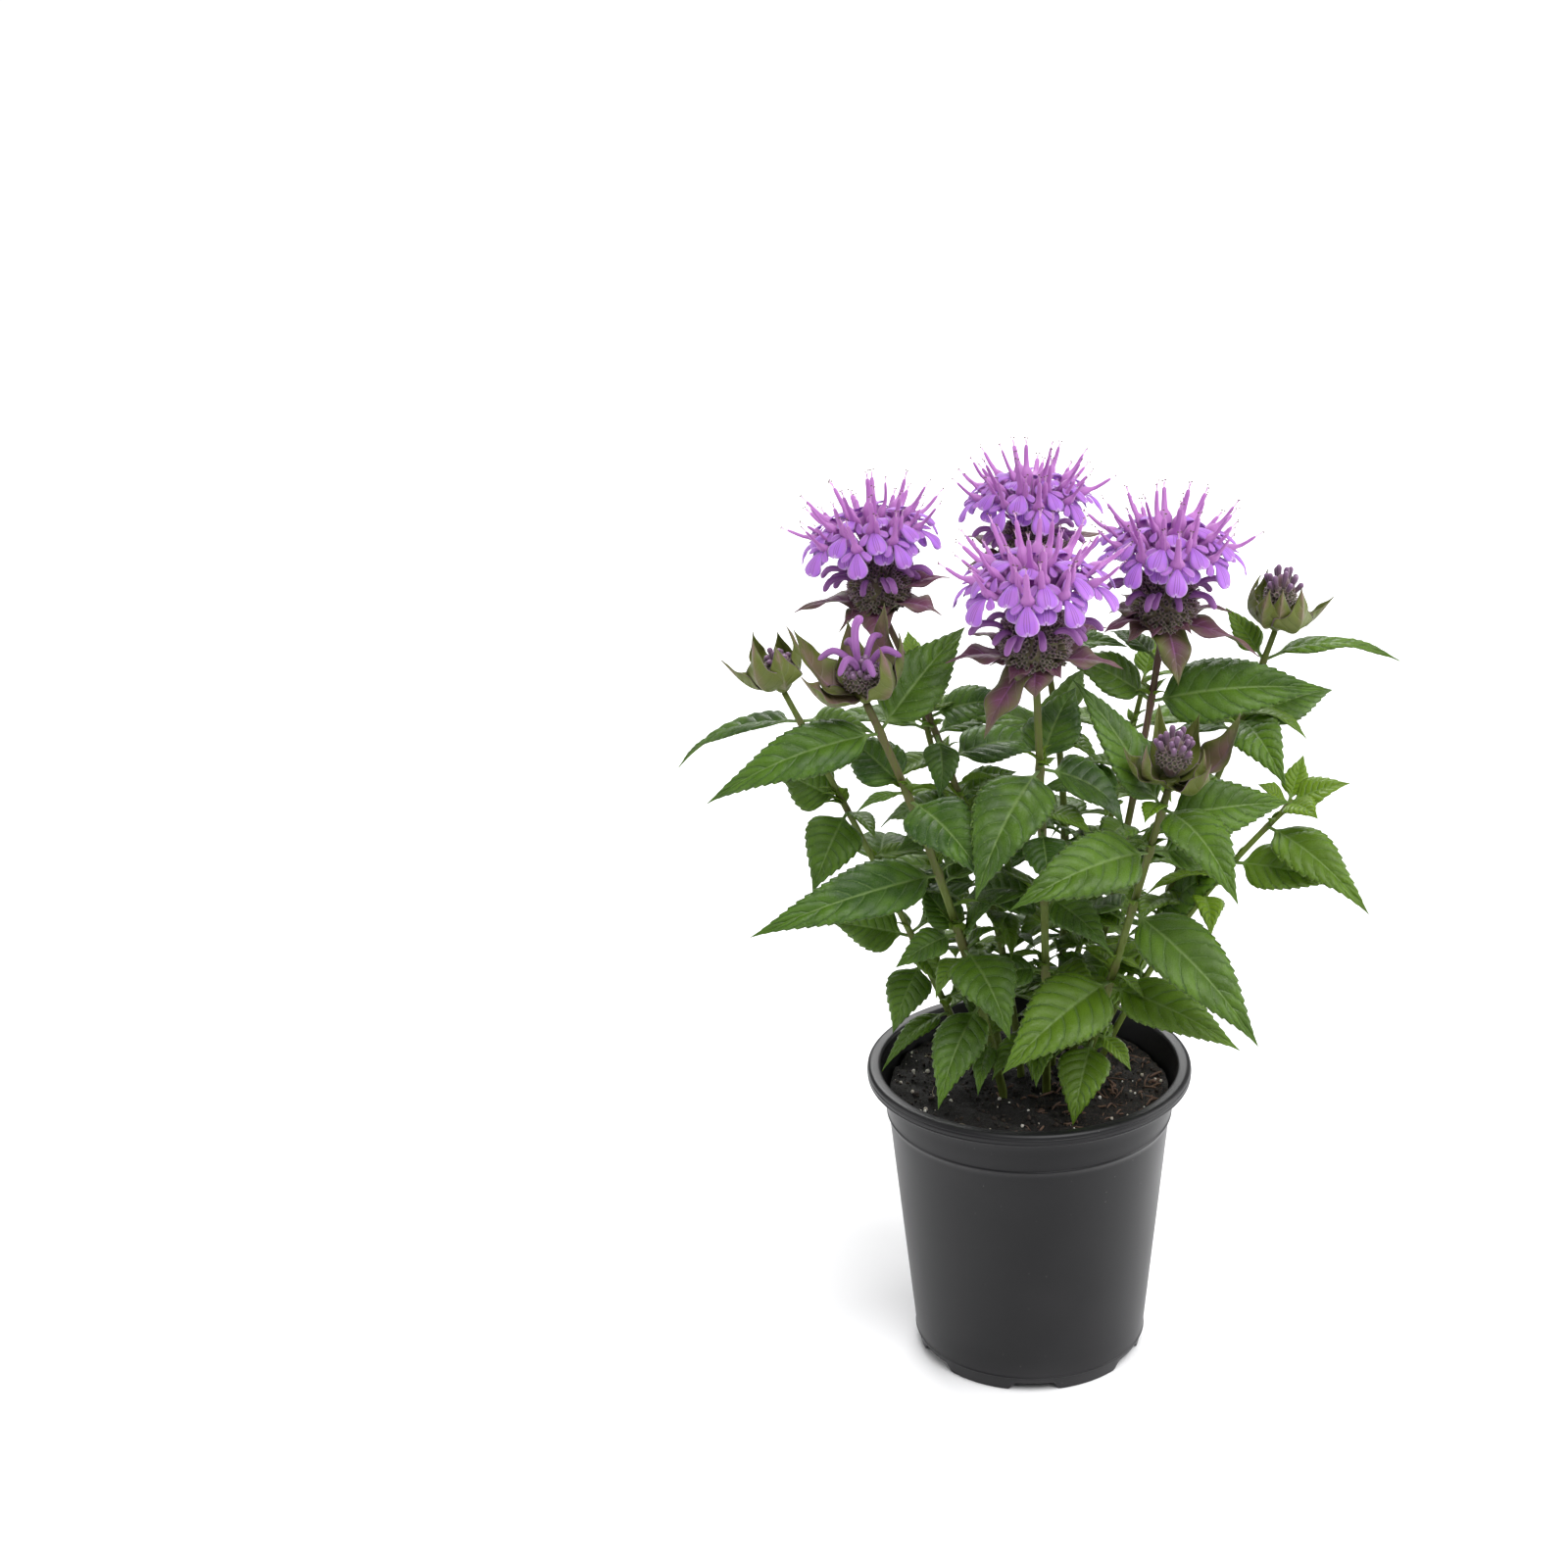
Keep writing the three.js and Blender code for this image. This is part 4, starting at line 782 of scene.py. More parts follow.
class Surface(Nodes):
    """A new material: a Principled surface, and light let through where see isn't 0."""

    def __init__(self, name, *, see=0.0, **constants):
        self.material = bpy.data.materials.new(name)
        self.material.use_nodes = True
        super().__init__(self.material.node_tree)
        self.shader = self.tree.nodes["Principled BSDF"]
        self.see = see
        self.paint = colours()
        for title, value in constants.items():
            self.shader.inputs[title.replace("_", " ")].default_value = value

    def place(self):
        return self.add("ShaderNodeTexCoord").outputs["Object"]

    def point_layer(self, name):
        """The three numbers that each point keeps under this name."""
        node = self.add("ShaderNodeAttribute", attribute_name=name, attribute_type="GEOMETRY")
        return self.split(node.outputs["Vector"])

    def uneven(self, broad, fine):
        return self.group(mottle(), Place=self.place(), Broad=broad, Fine=fine)

    def veins(self, mark, **inputs):
        return self.group(
            blade_veins(), Place=self.place(), Along=mark["X"], Across=mark["Y"], Chance=mark["Z"], **inputs,
        )

    def tinted(self, skin, *tints):
        """A colour with others mixed in by turns, each by its mask times its share."""
        for mask, share, colour in tints:
            skin = self.mix(self.times(mask, share), skin, colour)
        return skin

    def finished(self, skin, relief, distance, *, rough=None, strength=0.6):
        """The material, once its colour, its relief and any uneven roughness are fed in."""
        inputs = self.shader.inputs
        self.put(inputs["Base Color"], skin)
        if rough is not None:
            self.put(inputs["Roughness"], rough)
        bump = self.add("ShaderNodeBump", {"Height": relief, "Distance": distance, "Strength": strength})
        self.put(inputs["Normal"], bump.outputs["Normal"])
        if self.see:
            through = self.add("ShaderNodeBsdfTranslucent", {"Color": skin, "Normal": bump.outputs["Normal"]})
            joined = self.add("ShaderNodeMixShader", {"Fac": self.see})
            self.put(joined.inputs[1], self.shader.outputs["BSDF"])
            self.put(joined.inputs[2], through.outputs["BSDF"])
            self.put(self.tree.nodes["Material Output"].inputs["Surface"], joined.outputs["Shader"])
        return self.material


# Settings

def colour_setting(name, description, default):
    return bpy.props.FloatVectorProperty(
        name=name, description=description, default=default, size=3, min=0, max=1, subtype="COLOR",
    )


def length_setting(name, description, default):
    return bpy.props.FloatProperty(name=name, description=description, default=default, unit="LENGTH")


def count_setting(name, description, default, least=0):
    return bpy.props.IntProperty(name=name, description=description, default=default, min=least)


def strength_setting(name, description, default, unit="NONE"):
    return bpy.props.FloatProperty(name=name, description=description, default=default, min=0, unit=unit)


class BeeBalmColours(bpy.types.PropertyGroup):
    """Colours of the plant, its soil and its pot."""

    leaf: colour_setting("Leaf", "Upper side of a full-grown leaf", (0.082, 0.188, 0.012))
    # Leaf shade is also the colour of the painted shade in the furrows along a leaf's veins.
    leaf_deep: colour_setting("Leaf shade", "Darker patches of a leaf", (0.021, 0.078, 0.006))
    # Young leaf is also the colour of the painted light on a leaf's swellings, and of the painted glow on the
    # rear stems' leaves.
    leaf_young: colour_setting("Young leaf", "Upper side of a young leaf", (0.22, 0.36, 0.012))
    leaf_under: colour_setting("Leaf underside", "Paler underside of a leaf", (0.15, 0.25, 0.055))
    vein: colour_setting("Vein", "Ribs and veins of a leaf", (0.27, 0.4, 0.12))
    stem: colour_setting("Stem", "Green part of a stem", (0.09, 0.12, 0.011))
    stem_flush: colour_setting("Stem flush", "Purple brown part of a stem", (0.085, 0.04, 0.03))
    bract: colour_setting("Bract", "Purple of the bracts under a bloom", (0.165, 0.052, 0.095))
    bract_green: colour_setting("Bract green", "Green of bracts' ends and of bud cups", (0.125, 0.15, 0.02))
    cup_flush: colour_setting("Cup flush", "Dusky pink inside the bud cups", (0.3, 0.16, 0.165))
    calyx: colour_setting("Calyx", "Upper calyces of a head", (0.12, 0.06, 0.07))
    calyx_green: colour_setting("Calyx green", "Lower calyces of a head", (0.19, 0.185, 0.08))
    club: colour_setting("Bud floret", "Closed florets inside the buds", (0.17, 0.09, 0.18))
    petal: colour_setting("Lip", "Hanging lips of the florets", (0.49, 0.185, 0.78))
    petal_pink: colour_setting("Hood", "Upright hoods and tubes of the florets", (0.57, 0.22, 0.61))
    petal_edge: colour_setting("Lip edge", "Pale edges of the lips", (0.84, 0.62, 0.92))
    petal_deep: colour_setting("Closed floret", "Closed florets and the lines on lips", (0.15, 0.05, 0.19))
    thread: colour_setting("Stamen", "Paler parts of the stamens and styles", (0.72, 0.5, 0.66))
    pot: colour_setting("Pot", "Black plastic of the pot", (0.0055, 0.0055, 0.0065))
    scuff: colour_setting("Pot scuffs", "Film of dust and scuffs on the pot", (0.1, 0.095, 0.1))
    speck: colour_setting("Pot specks", "Specks of dust on the pot", (0.4, 0.38, 0.36))
    peat: colour_setting("Peat", "Moist peat", (0.0065, 0.0055, 0.0045))
    crumb: colour_setting("Crumbs", "Palest crumbs on the soil", (0.03, 0.019, 0.013))
    bark: colour_setting("Bark", "Bark fibres in the soil", (0.115, 0.066, 0.045))
    bark_pale: colour_setting("Pale bark", "Palest bark fibres", (0.15, 0.09, 0.06))
    rootlet: colour_setting("Rootlet", "Dry rootlets on the soil", (0.3, 0.24, 0.16))
    rootlet_pale: colour_setting("Pale rootlet", "Palest rootlets", (0.42, 0.36, 0.26))
    perlite: colour_setting("Perlite", "White beads in the soil", (0.78, 0.76, 0.7))
    perlite_dull: colour_setting("Dull perlite", "Stained beads in the soil", (0.45, 0.4, 0.33))
    floor: colour_setting("Floor", "The studio's floor", (0.88, 0.88, 0.89))


class BeeBalmSizes(bpy.types.PropertyGroup):
    """Fine sizes that the frame leaves open."""

    tooth: length_setting("Leaf tooth", "Depth of a tooth on a leaf's margin", 0.00042)
    tooth_pitch: length_setting("Tooth spacing", "From one leaf tooth to the next", 0.0052)
    quilt: length_setting("Leaf quilting", "How far a leaf swells between its veins", 0.0014)
    lip_width: length_setting("Lip width", "Widest part of a floret's hanging lip", 0.0108)
    calyces: count_setting("Calyces", "Calyces on the head of one bloom", 330, 20)
    perlite_beads: count_setting("Perlite beads", "White beads on the soil", 110)
    fibres: count_setting("Bark fibres", "Fibres tried on the soil, most of them kept on its right", 420)
    crumbs: count_setting("Peat crumbs", "Crumbs of peat and bark on the soil", 900)


class BeeBalmStage(bpy.types.PropertyGroup):
    """Studio light and camera."""

    key: strength_setting("Key light", "Strength of the wide light from the upper right", 3.4)
    side: strength_setting("Side lights", "Power of both side lights, the right one stronger", 14.0, "POWER")
    rear: strength_setting("Rear light", "Power of the light from behind", 45.0, "POWER")
    sky: strength_setting("Surrounding light", "Even light from all round", 0.29)
    key_spread: bpy.props.FloatProperty(
        name="Key spread", description="How wide the key light is", default=math.radians(50), subtype="ANGLE",
    )
    lens: bpy.props.FloatProperty(
        name="Lens", description="Focal length on a 36 mm wide sensor, in mm", default=72.13, min=10,
    )


def colours():
    """The colour settings as colours with a full alpha, by name."""
    held = bpy.context.scene.bee_balm_colours
    return {name: (*getattr(held, name), 1.0) for name in BeeBalmColours.__annotations__}


# Materials

def leaf_material(under):
    """Leaf blade: rib, side veins, a fine net and swellings between them, with painted shade in the furrows
    along the veins and a little painted light on the swellings. Tone X is youth, and on the rear stems'
    leaves also painted glow; Y is a flush.
    """
    name, shine = ("leaf underside", 0.3) if under else ("leaf top", 0.45)
    made = Surface(name, see=0.36, Specular_IOR_Level=shine)
    paint, mark, tone = made.paint, made.point_layer("mark"), made.point_layer("tone")
    veins, uneven = made.veins(mark), made.uneven(55.0, 1500.0)
    patch = made.range(uneven["Broad"], 0.35, 0.65)
    if under:
        blade = made.mix(made.range(uneven["Broad"], 0.2, 0.8, 0.1, 0.35), paint["leaf_under"], paint["leaf"])
    else:
        blade = made.mix(patch, paint["leaf_deep"], paint["leaf"])
    youth = made.plus(tone["X"], made.range(tone["Z"], 0.0, 1.0, -0.05, 0.12), clamp=True)
    blade = made.tinted(
        blade,
        (youth, 0.9, paint["leaf_young"]),
        # Painted shade: darker in the furrows along the side veins, strongly on the top side and faintly
        # beneath.
        (made.range(veins["Cells"], 0.0, 0.6, 0.1 if under else 0.75, 0.0), patch, paint["leaf_deep"]),
        # Painted light: a little lighter on the swellings between the veins.
        (veins["Cells"], 0.08, paint["leaf_young"]),
        (made.range(made.absolute(mark["Y"]), 0.93, 1.0), 0.45, paint["vein"]),
        (veins["Net"], 0.1, paint["vein"]),
        (veins["Side"], 0.5 if under else 0.32, paint["vein"]),
        (veins["Rib"], 0.75, paint["vein"]),
        (tone["Y"], 0.6, paint["bract"]),
    )
    ridges = made.plus(made.times(veins["Side"], 1.0 if under else -0.8), veins["Cells"])
    ridges = made.plus(ridges, made.times(veins["Net"], 0.25 if under else -0.25))
    relief = made.plus(ridges, made.times(uneven["Fine"], 0.3))
    return made.finished(blade, relief, 0.0005, rough=made.spread(uneven["Fine"], 0.25, 0.4))


def bract_material(name, flush, under):
    """Bracts and bud cups, green to a flush by tone Y, greener towards their margins by tone X."""
    made = Surface(name, see=0.22, Sheen_Weight=0.1, Sheen_Roughness=0.4)
    paint, mark, tone = made.paint, made.point_layer("mark"), made.point_layer("tone")
    veins, uneven = made.veins(mark, Pairs=6.0, Net=1100.0), made.uneven(110.0, 1800.0)
    across = made.absolute(mark["Y"])
    share = made.plus(made.times(tone["Y"], 0.45 if under else 1.4), made.spread(uneven["Broad"], -0.2, 0.2))
    if under:
        share = made.plus(share, made.range(mark["X"], 0.45, 1.0, 0.0, 0.6))
        fade = across
    else:
        fade = made.math("MAXIMUM", across, made.range(mark["X"], 0.35, 1.0, 0.0, 0.7))
    share = made.minus(share, made.times(tone["X"], fade), clamp=True)
    rosy = made.mix(share, paint["vein"], paint["petal_pink"])
    blade = made.tinted(
        made.mix(share, paint["bract_green"], paint[flush]),
        (veins["Net"], 0.06, rosy),
        (veins["Side"], 0.16, rosy),
        (veins["Rib"], made.range(mark["X"], 0.0, 0.8, 0.5, 0.2), rosy),
        (made.range(across, 0.93, 1.0), 0.35, paint["petal_pink"]),
    )
    ridges = made.minus(veins["Cells"], made.times(veins["Side"], 0.8))
    relief = made.plus(ridges, made.times(uneven["Fine"], 0.4))
    return made.finished(blade, relief, 0.0002, rough=made.spread(uneven["Fine"], 0.4, 0.6))


def stem_material():
    """Stems: streaked along their length, green to purple brown by tone Y."""
    made = Surface("stem skin", Specular_IOR_Level=0.35)
    paint, tone, uneven = made.paint, made.point_layer("tone"), made.uneven(90.0, 1600.0)
    drawn = made.add("ShaderNodeMapping", {"Vector": made.place(), "Scale": (1.0, 1.0, 0.08)})
    streak = made.noise(900.0, drawn.outputs["Vector"])
    flush = made.plus(tone["Y"], made.spread(streak, -0.3, 0.3), clamp=True)
    skin = made.tinted(
        paint["stem"],
        (made.range(streak, 0.35, 0.7), 0.2, paint["vein"]),
        (flush, made.range(tone["Y"], 0.0, 0.2), paint["stem_flush"]),
        (tone["X"], 0.5, paint["leaf_young"]),
    )
    relief = made.plus(made.times(streak, 0.6), made.times(uneven["Fine"], 0.5))
    return made.finished(skin, relief, 0.00025, rough=made.spread(uneven["Fine"], 0.45, 0.7))


def calyx_material():
    """Calyces: purple brown above, greenish below by tone X, with pale tooth tips, and with painted shade at
    their feet and in their mouths.
    """
    made = Surface("calyx", Sheen_Weight=0.4, Sheen_Roughness=0.5)
    paint, mark, tone = made.paint, made.point_layer("mark"), made.point_layer("tone")
    uneven = made.uneven(220.0, 2500.0)
    green = made.plus(tone["X"], made.spread(uneven["Broad"], -0.3, 0.3), clamp=True)
    skin = made.tinted(
        made.mix(green, paint["calyx"], paint["calyx_green"]),
        (made.range(mark["X"], 0.8, 1.0), 0.35, paint["petal_pink"]),
        # Painted shade: near black at the feet of the calyces, where they crowd into the head, and in their
        # mouths.
        (made.range(mark["X"], 0.0, 0.35, 1.0, 0.0), 0.6, paint["peat"]),
        (mark["Z"], 0.75, paint["peat"]),
    )
    return made.finished(skin, uneven["Fine"], 0.0002, rough=made.spread(uneven["Fine"], 0.6, 0.85))


def petal_material():
    """Florets: pinkish tubes and hoods where tone X is 1, bluer lips with darker lines where it is 0."""
    made = Surface("floret", see=0.3, Sheen_Weight=0.3, Sheen_Roughness=0.35)
    paint, mark, tone = made.paint, made.point_layer("mark"), made.point_layer("tone")
    uneven = made.uneven(160.0, 2200.0)
    across = made.absolute(mark["Y"])
    lip = made.minus(1.0, tone["X"], clamp=True)
    lines = made.range(made.absolute(made.math("SINE", made.times(mark["Y"], 7.0))), 0.9, 1.0)
    on_lip = made.times(lip, made.range(across, 0.2, 0.75, 1.0, 0.0))
    rim = made.math("MAXIMUM", made.range(across, 0.84, 0.98), made.range(mark["X"], 0.93, 1.0))
    skin = made.tinted(
        made.mix(tone["X"], paint["petal"], paint["petal_pink"]),
        (made.spread(uneven["Broad"]), 0.35, paint["petal_pink"]),
        (made.times(lines, on_lip), 0.45, paint["petal_deep"]),
        (lip, made.range(across, 0.0, 0.08, 0.45, 0.0), paint["petal_deep"]),
        (made.times(rim, lip), 0.6, paint["petal_edge"]),
        (tone["X"], made.range(mark["X"], 0.0, 0.35, 0.3, 0.0), paint["petal_deep"]),
        (tone["Y"], 0.85, paint["petal_deep"]),
    )
    relief = made.plus(lines, made.times(uneven["Fine"], 0.6))
    return made.finished(skin, relief, 0.00015, rough=made.spread(uneven["Fine"], 0.45, 0.65))


def club_material():
    """Closed florets in a bud: dusky violet, greener at the foot and more so where tone X is 1, with pale
    rounded ends where it is low."""
    made = Surface("bud floret", Sheen_Weight=0.25, Sheen_Roughness=0.4, Specular_IOR_Level=0.25)
    paint, mark, tone = made.paint, made.point_layer("mark"), made.point_layer("tone")
    uneven = made.uneven(300.0, 2500.0)
    grooves = made.absolute(made.math("SINE", made.times(mark["Y"], 6.3)))
    foot = made.range(mark["X"], 0.1, 0.7, 0.9, 0.1)
    tips = made.range(mark["X"], 0.8, 1.0, 0.0, 0.28)
    skin = made.tinted(
        paint["club"],
        (made.range(grooves, 0.0, 0.5, 1.0, 0.0), 0.5, paint["petal_deep"]),
        (made.spread(uneven["Broad"]), 0.25, paint["calyx"]),
        (foot, made.range(tone["X"], 0.2, 1.0, 0.4, 1.0), paint["calyx_green"]),
        (tips, made.range(tone["X"], 0.4, 0.5, 1.0, 0.1), paint["petal_edge"]),
    )
    return made.finished(skin, uneven["Fine"], 0.00015, rough=made.spread(uneven["Fine"], 0.5, 0.7))


def thread_material():
    """Stamens and styles: pale pink threads with dark heads where tone X is 1."""
    made = Surface("stamen", Roughness=0.6)
    paint, tone, uneven = made.paint, made.point_layer("tone"), made.uneven(500.0, 3000.0)
    skin = made.mix(made.spread(uneven["Broad"], 0.2, 0.8), paint["petal_pink"], paint["thread"])
    return made.finished(made.mix(tone["X"], skin, paint["calyx"]), uneven["Fine"], 0.0001)


def pot_material():
    """Black moulded plastic: satin, faintly scuffed and specked, dusty at the foot."""
    made = Surface("pot plastic", Specular_IOR_Level=0.27)
    paint, uneven = made.paint, made.uneven(14.0, 2200.0)
    specks = made.group(dust(), Place=made.place(), Scale=230.0, Size=0.08)["Specks"]
    low = made.range(made.split(made.place())["Z"], 0.0, 0.02, 0.1, 0.0)
    film = made.plus(low, made.range(uneven["Broad"], 0.4, 0.75, 0.0, 0.06))
    skin = made.tinted(made.mix(film, paint["pot"], paint["scuff"]), (specks, 0.3, paint["speck"]))
    rough = made.range(uneven["Broad"], 0.25, 0.75, 0.34, 0.42)
    return made.finished(skin, uneven["Fine"], 0.00003, rough=rough, strength=0.4)


def peat_material():
    """Moist peat with small pale grains, and with bark fibres towards its right."""
    made = Surface("peat")
    paint, uneven = made.paint, made.uneven(70.0, 1400.0)
    fibre = made.noise(500.0, made.place(), detail=5.0, distortion=2.5)
    barky = made.range(made.split(made.place())["X"], 0.0, 0.045, 0.06, 1.0)
    specks = made.group(dust(), Place=made.place(), Scale=420.0, Size=0.12)["Specks"]
    skin = made.tinted(
        paint["peat"],
        (made.range(fibre, 0.54, 0.68, 0.0, 0.7), barky, paint["bark"]),
        (specks, 0.35, paint["perlite"]),
    )
    relief = made.plus(fibre, made.times(uneven["Fine"], 0.7))
    return made.finished(skin, relief, 0.0012, rough=made.spread(uneven["Fine"], 0.75, 1.0), strength=0.8)


def grain_material(name, low, high, roughness):
    """A loose grain on the soil, each one between two colours by its own chance."""
    made = Surface(name)
    mark, uneven = made.point_layer("mark"), made.uneven(300.0, 1800.0)
    share = made.plus(mark["Z"], made.spread(uneven["Broad"], -0.3, 0.3), clamp=True)
    skin = made.mix(share, made.paint[low], made.paint[high])
    rough = made.spread(uneven["Fine"], roughness - 0.1, roughness + 0.05)
    return made.finished(skin, uneven["Fine"], 0.0005, rough=rough)


# The function that makes each material, and what it is given.
MAKERS = {
    "leaf top": (leaf_material, False),
    "leaf underside": (leaf_material, True),
    "bract": (bract_material, "bract", "bract", False),
    "bract underside": (bract_material, "bract underside", "bract", True),
    "cup inside": (bract_material, "bud bract inside", "cup_flush", False),
    "cup outside": (bract_material, "bud bract outside", "cup_flush", True),
    "stem": (stem_material,),
    "calyx": (calyx_material,),
    "floret": (petal_material,),
    "bud floret": (club_material,),
    "stamen": (thread_material,),
    "pot": (pot_material,),
    "peat": (peat_material,),
    "crumb": (grain_material, "soil crumb", "peat", "crumb", 0.9),
    "bark": (grain_material, "bark fibre", "bark", "bark_pale", 0.85),
    "rootlet": (grain_material, "rootlet", "rootlet", "rootlet_pale", 0.8),
    "perlite": (grain_material, "perlite", "perlite_dull", "perlite", 0.8),
}


@lru_cache(maxsize=None)
def finish(name):
    """Each material, made once when a piece first needs it."""
    maker, *given = MAKERS[name]
    return maker(*given)


# Pot and soil

def rounded_profile(corners):
    """A section whose corners, given as (radius, height, rounding), are cut by short arcs."""
    made = []
    for i, (radius, height, rounding) in enumerate(corners):
        here = np.array((radius, height), float)
        if rounding == 0:
            made.append(here)
            continue
        before = np.array(corners[i - 1][:2], float) - here
        after = np.array(corners[i + 1][:2], float) - here
        reach_before = min(rounding, 0.45 * np.linalg.norm(before))
        reach_after = min(rounding, 0.45 * np.linalg.norm(after))
        start, end = here + unit(before) * reach_before, here + unit(after) * reach_after
        for t in (0, 0.33, 0.67, 1):
            made.append((1 - t) ** 2 * start + 2 * t * (1 - t) * here + t**2 * end)
    return np.array(made)


def lip_groove(height):
    """Corners of a shallow groove round the outside of the lip."""
    radius = RIM_RADIUS - 0.15
    return [
        (radius, height - 0.4, 0.25),
        (radius - GROOVE_DEPTH, height, 0.2),
        (radius, height + 0.4, 0.25),
    ]


def pot_section():
    """The pot's section from the middle of its floor out, up and back inside, as in the frame."""
    lip_bottom = POT_HEIGHT - LIP_HEIGHT
    foot_inside = FOOT_RADIUS - POT_STEP - POT_WALL
    return rounded_profile([
        (0.0, FLOOR_BOTTOM, 0),
        (foot_inside, FLOOR_BOTTOM, 0.4),
        (foot_inside, 0, 0.5),
        (FOOT_RADIUS - POT_STEP, 0, 0.9),
        (FOOT_RADIUS, FOOT_HEIGHT - POT_STEP / 2, 0.3),
        (FOOT_RADIUS + POT_STEP + BEAD, FOOT_HEIGHT, 0.5),
        (FOOT_RADIUS + POT_STEP + BEAD, FOOT_HEIGHT + 0.5, 0.3),
        (FOOT_RADIUS + POT_STEP - 0.1, FOOT_HEIGHT + 1.1, 0.3),
        (COLLAR_RADIUS - 0.1, COLLAR_BOTTOM - 2.5, 1.5),
        (COLLAR_RADIUS + POT_STEP + BEAD, COLLAR_BOTTOM, 0.5),
        (COLLAR_RADIUS + POT_STEP + BEAD, COLLAR_BOTTOM + 0.5, 0.3),
        (COLLAR_RADIUS + POT_STEP - 0.15, COLLAR_BOTTOM + 1.1, 0.3),
        (COLLAR_RADIUS + 1.4 * POT_STEP, COLLAR_BOTTOM + 6, 4),
        (COLLAR_RADIUS + 0.45 * COLLAR_FLARE, lip_bottom - 5, 4),
        (COLLAR_RADIUS + COLLAR_FLARE, lip_bottom, 0.8),
        (RIM_RADIUS - POT_STEP / 2, lip_bottom, 0.9),
        *lip_groove(lip_bottom + 1.5),
        (RIM_RADIUS, POT_HEIGHT - LIP_BEAD, 0.5),
        *lip_groove(POT_HEIGHT - LIP_BEAD + 0.9),
        (RIM_RADIUS - POT_STEP / 2, POT_HEIGHT - POT_STEP, 1.2),
        (RIM_RADIUS - 2 * POT_STEP, POT_HEIGHT, 1.2),
        (RIM_RADIUS - LIP_WIDTH + POT_STEP, POT_HEIGHT - 0.4, 1.2),
        (RIM_RADIUS - LIP_WIDTH, POT_HEIGHT - POT_STEP, 1),
        (COLLAR_RADIUS + POT_STEP - POT_WALL, COLLAR_BOTTOM + POT_WALL, 0.8),
        (FOOT_RADIUS + POT_STEP - POT_WALL, FLOOR_TOP, 0.8),
        (0.0, FLOOR_TOP, 0),
    ])


def notch_angles():
    return [math.radians(-90 + NOTCH_TURN + 360 * k / NOTCH_COUNT) for k in range(NOTCH_COUNT)]


def notch_lift(angle):
    """How far the foot is cut away at an angle round the pot."""
    lift = 0.0
    for middle in notch_angles():
        if math.cos(angle - middle) > 0:
            aside = abs(FOOT_RADIUS * math.sin(angle - middle))
            share = (NOTCH_FOOT / 2 - aside) / ((NOTCH_FOOT - NOTCH_TOP) / 2)
            lift = max(lift, NOTCH_HEIGHT * float(ease(0, 1, share)))
    return lift


def drain_cutters():
    """Round rods that cut the drain holes through the pot's floor."""
    shape = Shape()
    for angle in notch_angles():
        heights = np.linspace(FLOOR_BOTTOM - 2, FLOOR_TOP + 2, 4)
        path = np.array([around(DRAIN_FROM_AXIS, angle, height) for height in heights])
        grow_tube(shape, path, np.full(4, DRAIN_RADIUS), ASIDE, sides=32)
    return shape


def grow_pot(shape, sides=252):
    section = pot_section()[1:-1]
    rows = []
    slope = POT_STEP / (FOOT_HEIGHT - POT_STEP / 2)
    for k in range(sides):
        angle = part_turn(k, sides)
        radius, height = section[:, 0].copy(), section[:, 1].copy()
        low = height < 0.9 * FLOOR_BOTTOM
        raised = notch_lift(angle) * np.clip(1 - height / FLOOR_BOTTOM, 0, 1) * low
        outer = radius > FOOT_RADIUS - POT_STEP - 0.7
        radius = radius + raised * slope * outer
        height = height + raised
        rows.append(np.stack((radius * math.cos(angle), radius * math.sin(angle), height), -1))
    grid = np.stack(rows, 1)
    points = np.vstack(((0, 0, FLOOR_BOTTOM), (0, 0, FLOOR_TOP), grid.reshape(-1, 3)))
    shape.add(points, np.zeros_like(points), (0, 0, 0), *tube_faces(len(section), sides), 0, 0)


def soil_height(x, y):
    """The frame's height of the soil, with finer lumps on it."""
    mound = SOIL_MOUND * math.exp(-(x * x + y * y) / 900)
    ripple = math.sin(0.19 * x + 0.6) * math.cos(0.16 * y) + 0.6 * math.sin(0.31 * y + 0.23 * x)
    layers = ((0.21, 3.1), (0.55, 8.4), (1.15, 1.7))
    broad, fine, finest = (noise.noise(Vector((pitch * x, pitch * y, z))) for pitch, z in layers)
    lumps, crumbs = broad + 0.55 * fine, abs(finest)
    return SOIL_LEVEL + mound + SOIL_RIPPLE * ripple + 1.1 * lumps + 1.1 * crumbs


def soil_edge(height):
    """The inside radius of the pot's wall at a height, less the clearance."""
    low, high = (radius + POT_STEP - POT_WALL for radius in (FOOT_RADIUS, COLLAR_RADIUS))
    share = (height - FLOOR_TOP) / (COLLAR_BOTTOM + POT_WALL - FLOOR_TOP)
    return low + (high - low) * min(share, 1) - CLEARANCE


def grow_soil(shape, rings=64, sides=168):
    rows = []
    edge = soil_edge(SOIL_LEVEL)
    angles = [part_turn(k, sides) for k in range(sides)]
    for ring in range(rings, 0, -1):
        distance = edge * ring / rings
        spots = [around(distance, angle, 0) for angle in angles]
        rows.append([(x, y, soil_height(x, y)) for x, y, _ in spots])
    bottom = FLOOR_TOP + CLEARANCE
    for height in (bottom, bottom + 2, COLLAR_BOTTOM):
        rows.insert(0, [around(soil_edge(height), angle, height) for angle in angles])
    rows[0], rows[2] = rows[2], rows[0]
    points = np.vstack(((0, 0, bottom), (0, 0, soil_height(0, 0)), np.array(rows).reshape(-1, 3)))
    shape.add(points, np.zeros_like(points), (0, 0, 0), *tube_faces(len(rows), sides), 0, 0)


